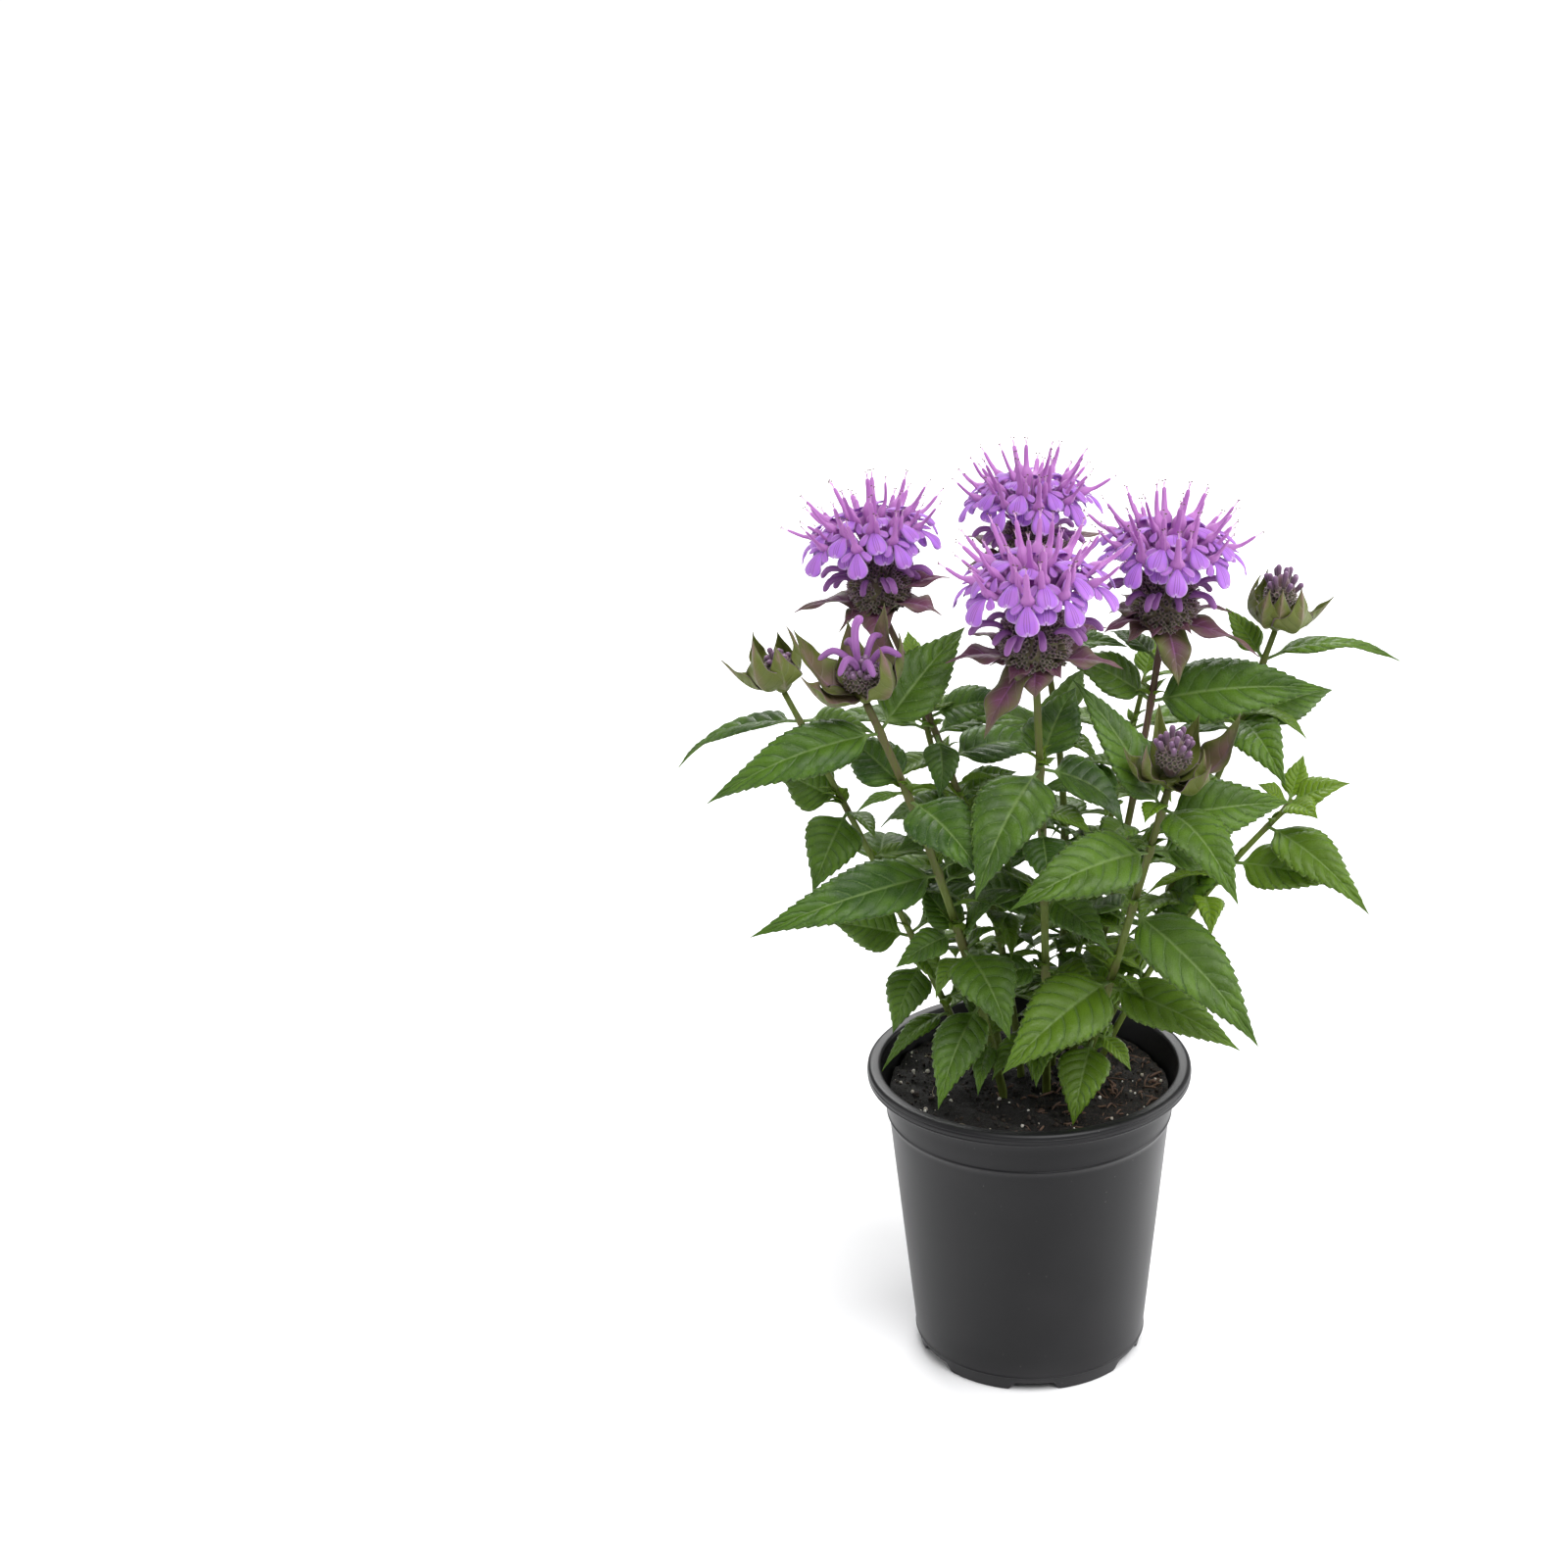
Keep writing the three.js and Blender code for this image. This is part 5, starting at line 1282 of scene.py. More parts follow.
def scatter_soil(shape, sizes, draw):
    """Crumbs, bark fibres, perlite and rootlets that lie on the soil."""
    def spot(reach=0.97):
        distance = soil_edge(SOIL_LEVEL) * reach * math.sqrt(draw())
        return around(distance, 2 * math.pi * draw(), 0)

    def strand(place, length, thick, lift, surface_index):
        """A fibre laid along the soil, its middle a little off it."""
        heading = 2 * math.pi * draw()
        bend = (0.9 if thick < 0.25 else 0.3) * (draw() - 0.5) * length
        knots = []
        for share in (-0.5, -0.17, 0.17, 0.5):
            along = around(share * length, heading, 0)
            across = around(bend * (0.25 - share**2), heading + math.pi / 2, 0)
            knot = place + along + across
            distance = math.hypot(knot[0], knot[1])
            knot[:2] *= min(1, (soil_edge(SOIL_LEVEL) - 1) / max(distance, 1))
            knot[2] = soil_height(knot[0], knot[1]) + 0.4 + lift * (0.25 - share**2)
            knots.append(knot)
        t = np.linspace(0, 1, 10)
        radii = thick * np.array((0.5, 0.85, 1, 1, 1, 1, 0.95, 0.85, 0.7, 0.4))
        path = smooth_path(knots, t)
        grow_tube(shape, path, radii, UP, sides=5, flat=0.6, chance=draw(), finish=surface_index)

    for _ in range(sizes.crumbs):
        place = spot()
        size = 0.5 + 1.5 * draw() ** 2
        place[2] = soil_height(place[0], place[1]) + 0.2 * size
        set_grain(shape, place, (size, size * (0.5 + 0.5 * draw()), size * 0.6), draw, (0, 0, 0), finish=0)
    for _ in range(sizes.perlite_beads):
        place = spot()
        size = 0.4 + 1.1 * draw() ** 2
        place[2] = soil_height(place[0], place[1]) + 0.5 * size
        set_grain(shape, place, (size, size * 0.85, size * 0.8), draw, (0, 0, 0), finish=2)
    for _ in range(sizes.fibres):
        place = spot()
        if place[0] < 60 * draw() - 20:
            continue
        strand(place, 2.5 + 8 * draw() ** 2, 0.3 + 0.6 * draw(), 3 * draw(), 1)
    for _ in range(ROOTLETS):
        strand(spot(0.85), 14 + 10 * draw(), 0.22, 7 * draw(), 3)


# Stems and leaves

def stem_curve(stem, t):
    start = np.array((*stem.base, SOIL_LEVEL + STEM_ABOVE_SOIL), float)
    return arch(start, np.array(stem.pull, float), np.array(stem.top, float), t)


def stem_point(stem, place):
    return stem_curve(stem, (place,))[0][0]


def square_section(angles):
    """A rounded square with hollow sides, its corners at the directions of the full radius."""
    turned_by = angles + math.pi / 4
    flat = (np.abs(np.cos(turned_by)) ** 5 + np.abs(np.sin(turned_by)) ** 5) ** (-1 / 5)
    return flat / math.sqrt(2) * 1.1 * (1 + 0.035 * np.cos(4 * angles))


def grow_stem(shape, stem, rings=70, sides=16):
    """A square stem from its root in the soil to its top, swollen where leaves join it."""
    thick, thin = stem.radii
    u = np.linspace(0, 1, rings)
    curve, _ = stem_curve(stem, u)
    root = np.array((*stem.base, SOIL_LEVEL - STEM_ROOT_DEPTH), float)
    length = np.linalg.norm(np.diff(curve, axis=0), axis=1).sum()
    path = np.vstack((root, root + (curve[0] - root) * ((0.02,), (0.5,)), curve, curve[-1:] + 0.05 * UP))
    radii = thick + (thin - thick) * u
    for leaf in stem.leaves:
        radii = radii * (1 + 0.12 * np.exp(-(((u - leaf[0]) * length / 2.6) ** 2)))
    radii = np.concatenate(((0,), (thick, thick), radii, (0,)))
    across = around(1, math.pi / 4, 0)
    heights = np.concatenate(((0,), (0, 0), u, (1,)))
    flush = stem.flush * ease(0.35, 0.95, heights)
    for leaf in stem.leaves:
        if leaf[0] > 0.3:
            flush = np.maximum(flush, 0.4 * np.exp(-(((heights - leaf[0]) * length / 3.5) ** 2)))
    tones = np.stack((np.full_like(flush, 0.35 * stem.young), flush, heights), -1)
    per_ring = np.repeat(tones[1:-1], sides, axis=0)
    every = np.vstack((tones[:1], tones[-1:], per_ring))
    grow_tube(shape, path, radii, across, sides=sides, section=square_section, tones=every)


def grow_leaf(shape, stem, leaf, sizes, draw):
    """One leaf, rooted in its stem, where and as large as the frame's."""
    place, facing, length, rise, width, lift, roll = leaf
    direction = around(math.cos(math.radians(rise)), math.radians(facing), math.sin(math.radians(rise)))
    outward = around(1, math.radians(facing), 0)
    start = stem_point(stem, place)
    radius = stem.radii[1]
    teeth = int(np.clip(round(length * MM / sizes.tooth_pitch), 4, 18))
    large = min(1.0, length / 60)
    height = start[2]
    young = float(np.clip((270 - height) / 420, 0, 0.3)) + stem.young + 0.16 * (draw() - 0.4)
    if length < 34:
        young += 0.25
    grow_blade(
        shape, start - outward * radius / 2, start + direction * length, UP,
        lift=lift, width=width, roll=roll, fold=LEAF_FOLD,
        stalk=min(STALK, STALK_SHARE * length) + 1.5 * radius, rows=toothed_rows(teeth),
        tooth=sizes.tooth / MM * (0.55 + 0.45 * large),
        quilt=sizes.quilt / MM * large, pairs=8, wave=0.9 * large * (0.5 + draw()), waves=1.2 + draw(),
        curl=0.1 + 0.12 * draw(), twist=0.6 * (draw() - 0.5), bend=0.06 * length * (draw() - 0.5),
        flare=0.05 * length * draw(), thick=0.45, rib=0.6 * large, chance=draw(),
        tones=(min(max(young, 0), 1), 0.0, draw()),
    )


def grow_small_leaf(shape, start, facing, length, rise, width, young, draw):
    """A leaf that the frame leaves out: a young one in an axil or a lesser one low down."""
    direction = around(math.cos(rise), facing, math.sin(rise))
    teeth = int(np.clip(round(length / SMALL_PITCH), 4, 8))
    grow_blade(
        shape, start, start + direction * length, UP, lift=0.12 * length, width=width,
        roll=50 * (draw() - 0.5), fold=LEAF_FOLD + 6, stalk=1.5 + 0.1 * length,
        rows=toothed_rows(teeth, fine=False), columns=SMALL_COLUMNS, tooth=SMALL_TOOTH, quilt=0.016 * length,
        pairs=6, wave=0.02 * length, waves=1.5, curl=0.15, twist=0.9 * (draw() - 0.5),
        bend=0.12 * length * (draw() - 0.5), flare=0.12 * length * draw(), thick=0.4, rib=0.35,
        chance=draw(), tones=(young, 0.0, draw()),
    )


def grow_sprigs(shape, stem, sprigs, draw):
    """The small leaves that a table gives to a stem."""
    for place, facing, length, rise, width, young in sprigs.get(stem.name, ()):
        start = stem_point(stem, place)
        grow_small_leaf(shape, start, math.radians(facing), length, rise, width, young, draw)


def grow_axils(shape, stem, draw):
    """Tufts of young leaves where leaves join a stem, larger ones opposite the leaves that stand alone, and
    lesser leaves between the stems."""
    for place in sorted({leaf[0] for leaf in stem.leaves}):
        start = stem_point(stem, min(place + 0.01, 0.97))
        pair = [math.radians(leaf[1]) for leaf in stem.leaves if abs(leaf[0] - place) < 0.04]
        if len(pair) == 1 and place < 0.9:
            facing = pair[0] + math.pi + 0.5 * (draw() - 0.5)
            length = 26 + 12 * draw()
            young = 0.25 + 0.3 * draw() + stem.young
            grow_small_leaf(shape, start, facing, length, 0.5 * (draw() - 0.4), 0.5 * length, young, draw)
        for facing in pair:
            for sign in (-1, 1):
                if draw() < 0.25 or place > 0.9:
                    continue
                length = 9 + 13 * draw() * (1.15 - place)
                angle = facing + sign * (0.5 + 0.5 * draw())
                young = 0.45 + 0.35 * draw()
                grow_small_leaf(shape, start, angle, length, 0.3 + 0.9 * draw(), 0.42 * length, young, draw)
    grow_sprigs(shape, stem, SPRIGS, draw)
    for k in range(LOW_LEAVES):
        start = stem_point(stem, 0.1 + 0.62 * (k + draw()) / LOW_LEAVES)
        inward = math.atan2(-start[1], -start[0])
        facing = inward + 2.6 * (draw() - 0.5)
        length = 28 + 16 * draw()
        young = 0.2 + 0.35 * draw() + 0.5 * stem.young
        grow_small_leaf(shape, start, facing, length, 0.9 * (draw() - 0.45), 0.5 * length, young, draw)
    grow_sprigs(shape, stem, LOW_SPRIGS, draw)


# Blooms

def head_seat(head, spin, size):
    """The turn and place of a head on the end of its stem, as in the frame."""
    stem = next(each for each in STEMS if each.name == head.stem)
    lean_x, lean_y = (math.radians(angle) for angle in head.lean)
    turn = (
        Matrix.Rotation(lean_x, 3, "X") @ Matrix.Rotation(lean_y, 3, "Y")
        @ Matrix.Rotation(math.radians(spin), 3, "Z")
    )
    axis = np.array(turn @ Vector((0, 0, 1)))
    tangent = stem_curve(stem, (1.0,))[1][0]
    slant = math.acos(min(1.0, float(np.dot(axis, tangent))))
    seat = CLEARANCE + stem.radii[1] * math.sin(slant)
    return np.array(turn) * size, np.array(stem.top, float) + axis * seat


def grow_head(shape, sizes, draw):
    """The dark head: a core covered in separate calyces, greener towards the stem."""
    core = np.array([(0.1, -0.2), *HEAD_OUTLINE, (2.0, 33.0), (0.1, 34.0)])
    grow_tube(shape, upright(core[:, 1]), core[:, 0] * 0.86, ASIDE, sides=20, tones=(0.6, 0, 0))
    outline = np.array(HEAD_OUTLINE + [(3.5, 31.5)], float)
    for k in range(sizes.calyces):
        share = (k + 0.5) / sizes.calyces
        height = 6.8 + 25 * share**0.9
        distance = float(np.interp(height, outline[:, 1], outline[:, 0]))
        angle = k * GOLDEN_ANGLE + 0.25 * (draw() - 0.5)
        tilt = 0.05 + 1.35 * share**1.6 + 0.25 * (draw() - 0.5)
        direction = around(math.cos(tilt), angle, math.sin(tilt))
        length = 6.6 + 1.8 * draw() - 1.2 * (1 - share)
        place = around(distance * 0.76, angle, height) - direction * 0.5
        green = float(np.clip(1.05 - 1.5 * share + 0.5 * (draw() - 0.5), 0, 1))
        set_calyx(shape, place, direction, length, 6.0 + 1.2 * draw(), (green, 0, draw()))


def grow_hook(shape, angle, bends, radii, draw, pale):
    """A closed floret that curls out of the head."""
    knots = [around(distance, angle, height) for distance, height in bends]
    t = rounded_end(11, end=0.13)
    across = around(1, angle + math.pi / 2, 0)
    widths = rounded_radii(t, np.linspace(0, 1, len(radii)), radii, end=0.13)
    path = smooth_path(knots, t) + across * (2.4 * (draw() - 0.5) * t**2)[:, None]
    grow_tube(
        shape, path, widths, across, sides=10, flat=0.92, chance=draw(), tones=(0.8, 0.85 - pale, draw()),
    )


def grow_hooks(shape, seed):
    """The frame's hooks, then shorter ones between them."""
    draw = drawer(seed)
    spare = drawer(seed + 100)
    for k in range(HOOK_COUNT):
        angle = part_turn(k + 0.5 + 0.4 * draw(), HOOK_COUNT)
        drop = 3 * draw()
        bends = [(distance, height - drop) for distance, height in HOOK_BENDS]
        grow_hook(shape, angle, bends, (1.0, 1.6, 1.9, 1.7), spare, 0.05 + 0.3 * spare())
    for k in range(SHORT_HOOKS):
        angle = part_turn(k + 0.2 + 0.6 * spare(), SHORT_HOOKS)
        drop = 5 * spare()
        reach = 17.5 + 5 * spare()
        spots = ((10, 25), (0.5 * (10 + reach), 28), (reach, 27.5), (reach + 4, 23.5))
        bends = [(distance, height - drop) for distance, height in spots]
        grow_hook(shape, angle, bends, (1.1, 1.5, 1.8, 1.75), spare, 0.25 * spare())
    return draw


def grow_bract(shape, distance, angle, height, length, slope, **blade):
    """A bract that starts beside the head and reaches out at a slope."""
    shared = {
        "fold": BRACT_FOLD - 4, "rows": plain_rows(26), "quilt": 0.6, "pairs": 5, "wave": 2.4, "curl": 0.12,
        "thick": 0.5, "rib": 0.4, "outline": BRACT_OUTLINE,
    }
    tip = around(length * math.cos(slope), angle, height + length * math.sin(slope))
    grow_blade(shape, around(distance, angle, height), tip, UP, **{**shared, **blade})


def grow_collar(shape, bloom, draw):
    """The frame's bracts under the head and smaller ones between them."""
    spare = drawer(bloom.seed + 500)
    distance, height = BRACT_ROOT
    for turn, rise, length, width, aside in bloom.bracts:
        lift = BRACT_LIFT * (0.7 + 0.5 * draw())
        hanging = rise < -30
        grow_bract(
            shape, distance, math.radians(turn), height, length, math.radians(rise), lift=lift, width=width,
            bend=aside, waves=1.3 + spare(), twist=0.8 * (spare() - 0.5),
            flare=(0 if hanging else 3) * (spare() - 0.3), chance=spare(),
            tones=(1.0 if hanging else 0.35 + 0.4 * spare(), 0.7 + 0.15 * spare(), spare()),
        )
    for turn, rise, length, width in bloom.between:
        grow_bract(
            shape, distance, math.radians(turn), height - 0.8, length, math.radians(rise), lift=BRACT_LIFT,
            width=width, waves=1.6, flare=1.5, chance=0.4, tones=(0.5, 0.8, 0.5),
        )
    for k in range(SMALL_BRACTS):
        angle = part_turn(k + 0.5 + 0.2 * spare(), SMALL_BRACTS)
        length = 16 + 8 * spare()
        grow_bract(
            shape, 3.5, angle, height + 0.8, length, 0.15 * (spare() - 0.7), lift=2, width=12 + 3 * spare(),
            fold=9, rows=plain_rows(18), quilt=0.45, pairs=4, wave=2.0, waves=1.2 + spare(), curl=0.1,
            twist=0.8 * (spare() - 0.5), flare=3 * (spare() - 0.3), thick=0.45, rib=0.3, chance=spare(),
            tones=(0.4, 0.8, spare()),
        )


def grow_floret(shape, threads, ring, angle, spin, draw, spare, sizes, stage=1.0):
    """One open floret: a tube that swells into a throat and an upright hood, a broad hanging lip with two
    side lobes, and the threads that reach out of the hood. Its hood is steeper the more it faces the
    plant's front, which spin tells."""
    facing = max(0, -math.sin(angle + math.radians(spin)))
    sway = angle + 0.14 * (draw() - 0.5)
    grow = 0.94 + 0.12 * draw()
    lip_twist = 0.35 * (spare() - 0.5)

    def at(spot):
        return around(spot[0] * grow, sway, spot[1])

    root = around(ring.root[0], angle, ring.root[1])
    throat, lip = at(ring.throat), at(ring.lip)
    hood = at([value + facing * more for value, more in zip(ring.hood, ring.steep)])
    outward, across = around(1, sway, 0), around(1, sway + math.pi / 2, 0)
    hood = throat + (hood - throat) * HOOD_SHARE * stage
    hood = hood + across * 3.4 * (spare() - 0.5)
    mouth = throat + 0.1 * (throat - root)
    bow = throat + (hood - throat) * 0.5 + outward * 1.0 - UP * 0.6
    curl = hood + outward * (2.6 * spare() - 0.4) + UP * 0.2
    knots = [root, root + (throat - root) * 0.55 + UP * 1.2, mouth, bow, curl]
    tube, throat_part = np.linspace(0, 0.34, 6)[:-1], np.linspace(0.34, 0.66, 9)
    t = np.concatenate((tube, throat_part, (0.75, 0.85, 0.93, 0.98, 1.0)))
    along = np.interp(t, HOOD_PLACES, HOOD_WIDTHS) * (0.9 + 0.2 * spare())
    colour = (1.0, 0.12 * spare(), spare())
    grow_tube(shape, smooth_path(knots, t), along, across, sides=10, flat=0.62, chance=spare(), tones=colour)

    mouth_low = mouth - outward * 1.0 - UP * 0.9
    fall = lip - mouth_low
    tip = lip + across * 2.0 * (spare() - 0.5)
    wide = sizes.lip_width / MM * (0.92 + 0.16 * spare())
    grow_blade(
        shape, mouth_low, tip, unit(outward + 0.9 * UP), lift=0.17 * np.linalg.norm(fall), width=wide,
        roll=24 * (spare() - 0.5), fold=-7, outline=LIP_OUTLINE, rows=plain_rows(15), columns=PLAIN_COLUMNS,
        wave=0.6, waves=1.3, curl=0.08, twist=lip_twist, flare=1.5 * (spare() - 0.3), notch=1.5, thick=0.4,
        rib=0.25, chance=spare(), tones=(0.0, 0.1 * spare(), spare()), finishes=(0, 0),
    )
    for sign in (-1, 1):
        reach = 8.0 + 2.0 * spare()
        aim = unit(across * sign * 0.85 + outward * 0.7 - UP * (0.2 + 0.5 * spare()))
        grow_blade(
            shape, mouth_low + across * sign * 0.9, mouth_low + across * sign * 0.9 + aim * reach,
            unit(outward + UP), lift=1.2, width=4.6, fold=8, outline=LIP_OUTLINE, rows=plain_rows(8),
            columns=LOBE_COLUMNS, wave=0.2, curl=0.15, twist=sign * 0.5, thick=0.35, rib=0.1, chance=spare(),
            tones=(0.25, 0.05, spare()), finishes=(0, 0),
        )
    grow_threads(threads, bow, curl, across, outward, spare)


def grow_threads(shape, bow, tip, across, outward, spare):
    """Two stamens, and a style between them, beyond a hood's tip."""
    heading = unit(tip - bow)
    for k in range(3):
        sideways = across * (k - 1) * (0.5 + 0.5 * spare())
        length = 2.4 + 2.4 * spare()
        bent = tip + heading * length * 0.5 + sideways * 0.4
        end = tip + heading * length * 0.95 + sideways + outward * 0.8 * (spare() - 0.3)
        t = np.linspace(0, 1, 8)
        radii = np.full(8, 0.15 if k == 1 else 0.18)
        grow_tube(shape, smooth_path((bow + (tip - bow) * 0.7, bent, end), t), radii, across, sides=5)
        if k != 1:
            t = rounded_end(4, 0.3)
            head = smooth_path((end - across * 0.55, end + heading * 0.25, end + across * 0.55), t)
            widths = rounded_radii(t, (0, 0.3, 1), (0.2, 0.34, 0.34), 0.3)
            grow_tube(shape, head, widths, heading, sides=6, tones=(1, 0, 0))


def grow_crown(shape, threads, spin, draw, spare, sizes):
    """The frame's rings of florets and, between them, some that are smaller or only half open."""
    for row, ring in enumerate(RINGS):
        for k in range(ring.count):
            angle = part_turn(k + 0.5 * (row % 2), ring.count)
            grow_floret(shape, threads, ring, angle, spin, draw, spare, sizes)
    for k in range(HALF_OPEN.count):
        angle = part_turn(k + 0.3 + 0.4 * spare(), HALF_OPEN.count)
        grow_floret(shape, threads, HALF_OPEN, angle, spin, spare, spare, sizes, stage=0.8 + 0.15 * spare())
    for k in range(TOP_HOOKS):
        angle = part_turn(k + 0.4 * spare(), TOP_HOOKS)
        reach = 9 + 4 * spare()
        top = 41 + 5 * spare()
        bends = ((4, 31), (0.6 * reach, 39), (0.9 * reach, top + 2), (reach + 1, top + 4))
        grow_hook(shape, angle, bends, (0.9, 1.2, 1.5, 1.2), spare, 0.35)


# Buds

def grow_cup(shape, bud):
    """A bud's cup of bracts on a small receptacle, round at the bottom."""
    spare = drawer(bud.seed + 300)
    profile = np.array(RECEPTACLE)
    grow_tube(shape, upright(profile[:, 1]), profile[:, 0], ASIDE, sides=16, tones=(1.0, 0.1, 0), finish=1)
    for turn, distance, height, width, aside, flare, twist in (*bud.cup, *bud.inner):
        angle = math.radians(turn)
        grow_blade(
            shape, around(RECEPTACLE_RIM / 2, angle, RECEPTACLE_HEIGHT / 2), around(distance, angle, height),
            around(-1, angle, 0), lift=-0.42 * width, width=1.2 * width, fold=22, outline=BRACT_OUTLINE,
            rows=plain_rows(26), belly=-0.17 * width, quilt=0.4, pairs=5, wave=1.6, waves=1.3 + spare(),
            curl=-0.14, twist=twist + 0.4 * (spare() - 0.5), bend=aside, flare=flare, thick=0.5, rib=0.4,
            chance=spare(), tones=(0.85, bud.flush + 0.3 * (spare() - 0.5), spare()), finishes=(0, 1),
        )


def grow_clubs(shape, bud):
    """Closed florets inside a bud: round-ended clubs that fan out of a ball of small calyces, shorter
    towards its sides, and some that arch out."""
    spare = drawer(bud.seed + 400)
    low, ball = RECEPTACLE_HEIGHT, bud.ball
    middle = np.array((0, 0, 0.55 * bud.top))
    beyond = bud.top - middle[2] - ball
    turns = np.linspace(-0.5, 0.5, 9) * math.pi
    path = middle + upright(np.sin(turns) * (middle[2] - low))
    grow_tube(shape, path, 0.1 + 0.86 * ball * np.cos(turns), ASIDE, sides=14, finish=1)
    for k in range(BUD_CALYCES):
        share = (k + 0.5) / BUD_CALYCES
        slope = 0.8 - 1.5 * share
        direction = around(math.cos(slope), k * GOLDEN_ANGLE, math.sin(slope))
        place, heading = middle + direction * 0.72 * ball, unit(direction + 0.7 * UP)
        set_calyx(shape, place, heading, 4.2 + spare(), 8.0, (0.5 + 0.5 * share, 0, spare()), finish=1)
    for k in range(bud.clubs):
        share = math.sqrt((k + 0.4) / bud.clubs)
        lean = 1.3 * share + 0.22 * (spare() - 0.5)
        direction = around(math.sin(lean), k * GOLDEN_ANGLE + 0.3 * (spare() - 0.5), math.cos(lean))
        foot = middle + direction * 0.8 * ball
        reach = 0.4 * ball + beyond * (1.05 - 0.35 * share**2) + 2.4 * (spare() - 0.5)
        end = foot + unit(direction + 1.1 * UP) * reach
        t = rounded_end(8, end=0.16)
        radii = rounded_radii(t, (0, 0.5, 0.8, 1), (1.0, 1.25, 1.5, 1.25), end=0.16)
        path = smooth_path((foot, (foot + end) / 2 + direction * 0.5, end), t)
        across = around(1, k * GOLDEN_ANGLE + 1.57, 0)
        grow_tube(shape, path, radii, across, chance=spare(), tones=(0.4 * share, 0, spare()), finish=2)
    for k in range(bud.curls):
        angle = part_turn(k + 0.35 + 0.3 * spare(), bud.curls) + 0.5
        reach = 14 + 5 * spare()
        high = 26 + 4 * spare()
        low_bends = ((2.5, 0.35 * high), (4.5, 0.75 * high))
        bends = (*low_bends, (0.66 * reach, high), (reach + 2, high - 3 - 3 * spare()))
        grow_hook(shape, angle, bends, (1.1, 1.6, 1.9, 1.6), spare, 0.3)
    if bud.curls:
        bends = ((1, 0.3 * TALL_CURL), (1.8, 0.6 * TALL_CURL), (1.0, 0.88 * TALL_CURL), (-2.5, TALL_CURL))
        grow_hook(shape, math.pi, bends, (1.3, 2.0, 2.2, 2.5), spare, 0.7)


# Operators

class PieceOperator:
    """What the operators share."""

    bl_options = {"REGISTER", "UNDO"}


class BEEBALM_OT_stage(PieceOperator, bpy.types.Operator):
    """Pale floor, soft studio light and the camera at the photographed angle"""

    bl_idname = "bee_balm.stage"
    bl_label = "Stage"

    def execute(self, context):
        scene, stage = context.scene, context.scene.bee_balm_stage
        scene.view_settings.view_transform = "Standard"
        self.set_camera(scene, stage.lens)
        self.set_sky(scene, stage.sky)
        middle = Vector((0, 0, CAD_BOX[1][2] / 2))
        for name, kind, place, spread, power in (
            ("key light", "SUN", (0.55, -0.75, 1.9), stage.key_spread, stage.key),
            ("left light", "AREA", (-1.8, 0.1, 0.7), 1.2, 0.7 * stage.side),
            ("right light", "AREA", (1.8, 0.3, 0.7), 1.2, 1.6 * stage.side),
            ("rear light", "AREA", (-0.3, 1.9, 1.8), 1.4, stage.rear),
        ):
            lamp = bpy.data.lights.new(name, kind)
            lamp.energy = power
            setattr(lamp, "angle" if kind == "SUN" else "size", spread)
            held = linked(name, lamp)
            held.location = place
            held.rotation_euler = (middle - Vector(place)).to_track_quat("-Z", "Y").to_euler()
        self.lay_floor()
        return {"FINISHED"}

    def set_camera(self, scene, focal_length):
        lens = bpy.data.cameras.new("camera")
        lens.lens = focal_length
        lens.sensor_width = SENSOR_WIDTH
        scene.camera = linked("camera", lens)
        scene.camera.matrix_world = (
            Matrix.Translation(CAMERA_PLACE)
            @ Matrix.Rotation(math.radians(90 - CAMERA_DOWN), 4, "X")
            @ Matrix.Rotation(math.radians(CAMERA_LEFT), 4, "Y")
            @ Matrix.Rotation(math.radians(CAMERA_UP), 4, "X")
        )

    def set_sky(self, scene, strength):
        world = bpy.data.worlds.new("studio")
        world.use_nodes = True
        sky = world.node_tree.nodes["Background"].inputs
        sky["Color"].default_value = (1, 1, 1, 1)
        sky["Strength"].default_value = strength
        scene.world = world

    def lay_floor(self):
        mesh = bpy.data.meshes.new("floor")
        corners = [(x * FLOOR_REACH, y * FLOOR_REACH, 0) for x, y in ((-1, -1), (1, -1), (1, 1), (-1, 1))]
        mesh.from_pydata(corners, [], [(0, 1, 2, 3)])
        made = Surface("studio floor", Roughness=0.85)
        cloud = made.noise(1.5, made.place())
        pale = made.paint["floor"]
        dimmed = (*(0.99 * part for part in pale[:3]), 1.0)
        mesh.materials.append(made.finished(made.mix(made.spread(cloud), pale, dimmed), cloud, 0.0001))
        linked("floor", mesh)


class BEEBALM_OT_pot(PieceOperator, bpy.types.Operator):
    """Black nursery pot with its rolled lip, collar, notched foot and drain holes"""

    bl_idname = "bee_balm.pot"
    bl_label = "Pot"

    def execute(self, context):
        shape = Shape()
        grow_pot(shape)
        pot = shape.piece("nursery_pot", ["pot"], "pot", "pot_plastic")
        cutters = drain_cutters().piece("drain_cutters", ["pot"], None, "pot_plastic")
        cut = pot.modifiers.new("drain holes", "BOOLEAN")
        cut.operation = "DIFFERENCE"
        cut.solver = "EXACT"
        cut.object = cutters
        graph = context.evaluated_depsgraph_get()
        drained = bpy.data.meshes.new_from_object(pot.evaluated_get(graph))
        pot.modifiers.clear()
        pot.data = drained
        bpy.data.objects.remove(cutters)
        drained.set_sharp_from_angle(angle=math.radians(50))
        return {"FINISHED"}


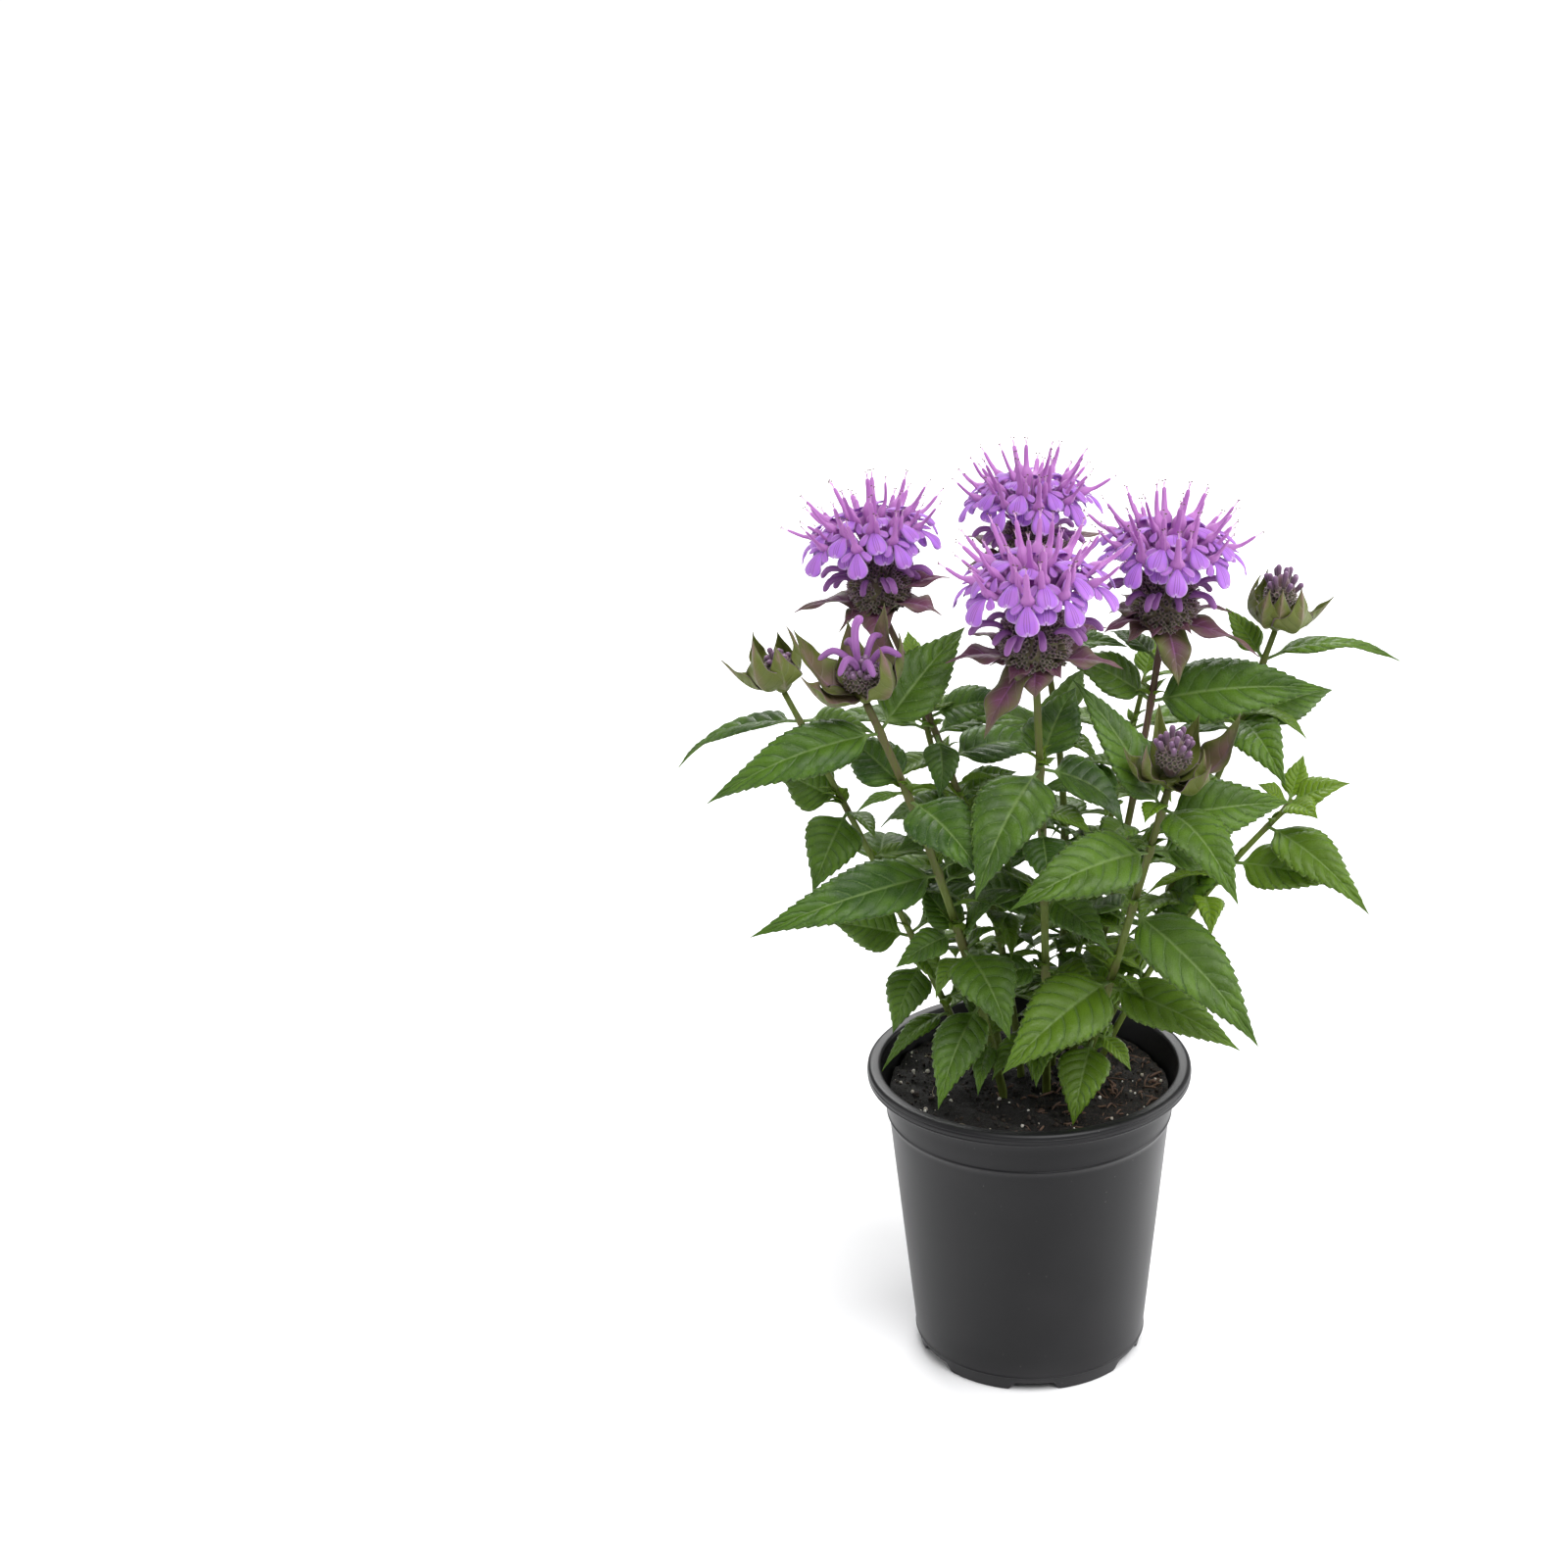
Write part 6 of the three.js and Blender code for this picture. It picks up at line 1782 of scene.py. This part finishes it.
class BEEBALM_OT_soil(PieceOperator, bpy.types.Operator):
    """Moist peat that fills the pot, and what lies on it"""

    bl_idname = "bee_balm.soil"
    bl_label = "Soil"

    def execute(self, context):
        bed = Shape()
        grow_soil(bed)
        bed.piece("soil_bed", ["peat"], "soil", "soil")
        bits = Shape()
        scatter_soil(bits, context.scene.bee_balm_sizes, drawer(3))
        bits.piece("soil_bits", ["crumb", "bark", "perlite", "rootlet"], "soil", "soil")
        return {"FINISHED"}


class BEEBALM_OT_stems(PieceOperator, bpy.types.Operator):
    """Square stems and their toothed, quilted leaves"""

    bl_idname = "bee_balm.stems"
    bl_label = "Stems and leaves"

    def execute(self, context):
        sizes = context.scene.bee_balm_sizes
        for number, stem in enumerate(STEMS):
            name = stem.name
            draw = drawer(number + 51)
            stalk = Shape()
            grow_stem(stalk, stem)
            stalk.piece(f"stalk_{name}", ["stem"], f"stem_{name}", "foliage")
            leaves = Shape()
            for leaf in stem.leaves:
                grow_leaf(leaves, stem, leaf, sizes, draw)
            grow_axils(leaves, stem, draw)
            leaves.piece(f"leaves_{name}", ["leaf top", "leaf underside"], f"stem_{name}", "foliage")
        return {"FINISHED"}


class BEEBALM_OT_blooms(PieceOperator, bpy.types.Operator):
    """Open blooms: calyx heads, bracts, florets and stamens"""

    bl_idname = "bee_balm.blooms"
    bl_label = "Open blooms"

    def execute(self, context):
        sizes = context.scene.bee_balm_sizes
        for bloom in BLOOMS:
            name = bloom.stem
            seat = head_seat(bloom, bloom.spin, bloom.size)
            spare = drawer(bloom.seed + 200)
            head, hooks, collar, crown, threads = shapes = [Shape() for _ in range(5)]
            for shape in shapes:
                shape.seat = seat
            grow_head(head, sizes, spare)
            draw = grow_hooks(hooks, bloom.seed)
            grow_collar(collar, bloom, draw)
            grow_crown(crown, threads, bloom.spin, draw, spare, sizes)
            head.piece(f"head_{name}", ["calyx"], f"calyx_{name}", "calyx")
            hooks.piece(f"closed_florets_{name}", ["floret"], f"calyx_{name}", "petals")
            collar.piece(f"collar_{name}", ["bract", "bract underside"], f"calyx_{name}", "calyx")
            crown.piece(f"open_florets_{name}", ["floret"], f"florets_{name}", "petals")
            threads.piece(f"stamens_{name}", ["stamen"], f"florets_{name}", "petals")
        return {"FINISHED"}


class BEEBALM_OT_buds(PieceOperator, bpy.types.Operator):
    """Bud heads: cups of bracts round closed florets"""

    bl_idname = "bee_balm.buds"
    bl_label = "Bud heads"

    def execute(self, context):
        for bud in BUDS:
            name = bud.stem
            cup, clubs = Shape(), Shape()
            cup.seat = clubs.seat = head_seat(bud, 0, 1)
            grow_cup(cup, bud)
            grow_clubs(clubs, bud)
            cup.piece(f"cup_{name}", ["cup inside", "cup outside"], f"bracts_{name}", "bud_bracts")
            finishes = ["floret", "calyx", "bud floret"]
            clubs.piece(f"clubs_{name}", finishes, f"closed_{name}", "closed_florets")
        return {"FINISHED"}


HELD = {"bee_balm_sizes": BeeBalmSizes, "bee_balm_colours": BeeBalmColours, "bee_balm_stage": BeeBalmStage}

OPERATORS = (
    BEEBALM_OT_stage,
    BEEBALM_OT_pot,
    BEEBALM_OT_soil,
    BEEBALM_OT_stems,
    BEEBALM_OT_blooms,
    BEEBALM_OT_buds,
)


class BEEBALM_PT_panel(bpy.types.Panel):
    """Settings and steps of the bee balm"""

    bl_label = "Potted bee balm"
    bl_idname = "BEEBALM_PT_panel"
    bl_space_type = "VIEW_3D"
    bl_region_type = "UI"
    bl_category = "Bee balm"

    def draw(self, context):
        for operator in OPERATORS:
            self.layout.operator(operator.bl_idname)
        for held in HELD:
            settings = getattr(context.scene, held)
            box = self.layout.box()
            for title in settings.__annotations__:
                box.prop(settings, title)


CLASSES = (*HELD.values(), *OPERATORS, BEEBALM_PT_panel)


def register():
    for each in CLASSES:
        bpy.utils.register_class(each)
    for name, kind in HELD.items():
        setattr(bpy.types.Scene, name, bpy.props.PointerProperty(type=kind))


def unregister():
    for name in HELD:
        delattr(bpy.types.Scene, name)
    for each in reversed(CLASSES):
        bpy.utils.unregister_class(each)


def main():
    register()
    for name in ("stage", "pot", "soil", "stems", "blooms", "buds"):
        getattr(bpy.ops.bee_balm, name)()


if __name__ == "__main__":
    main()
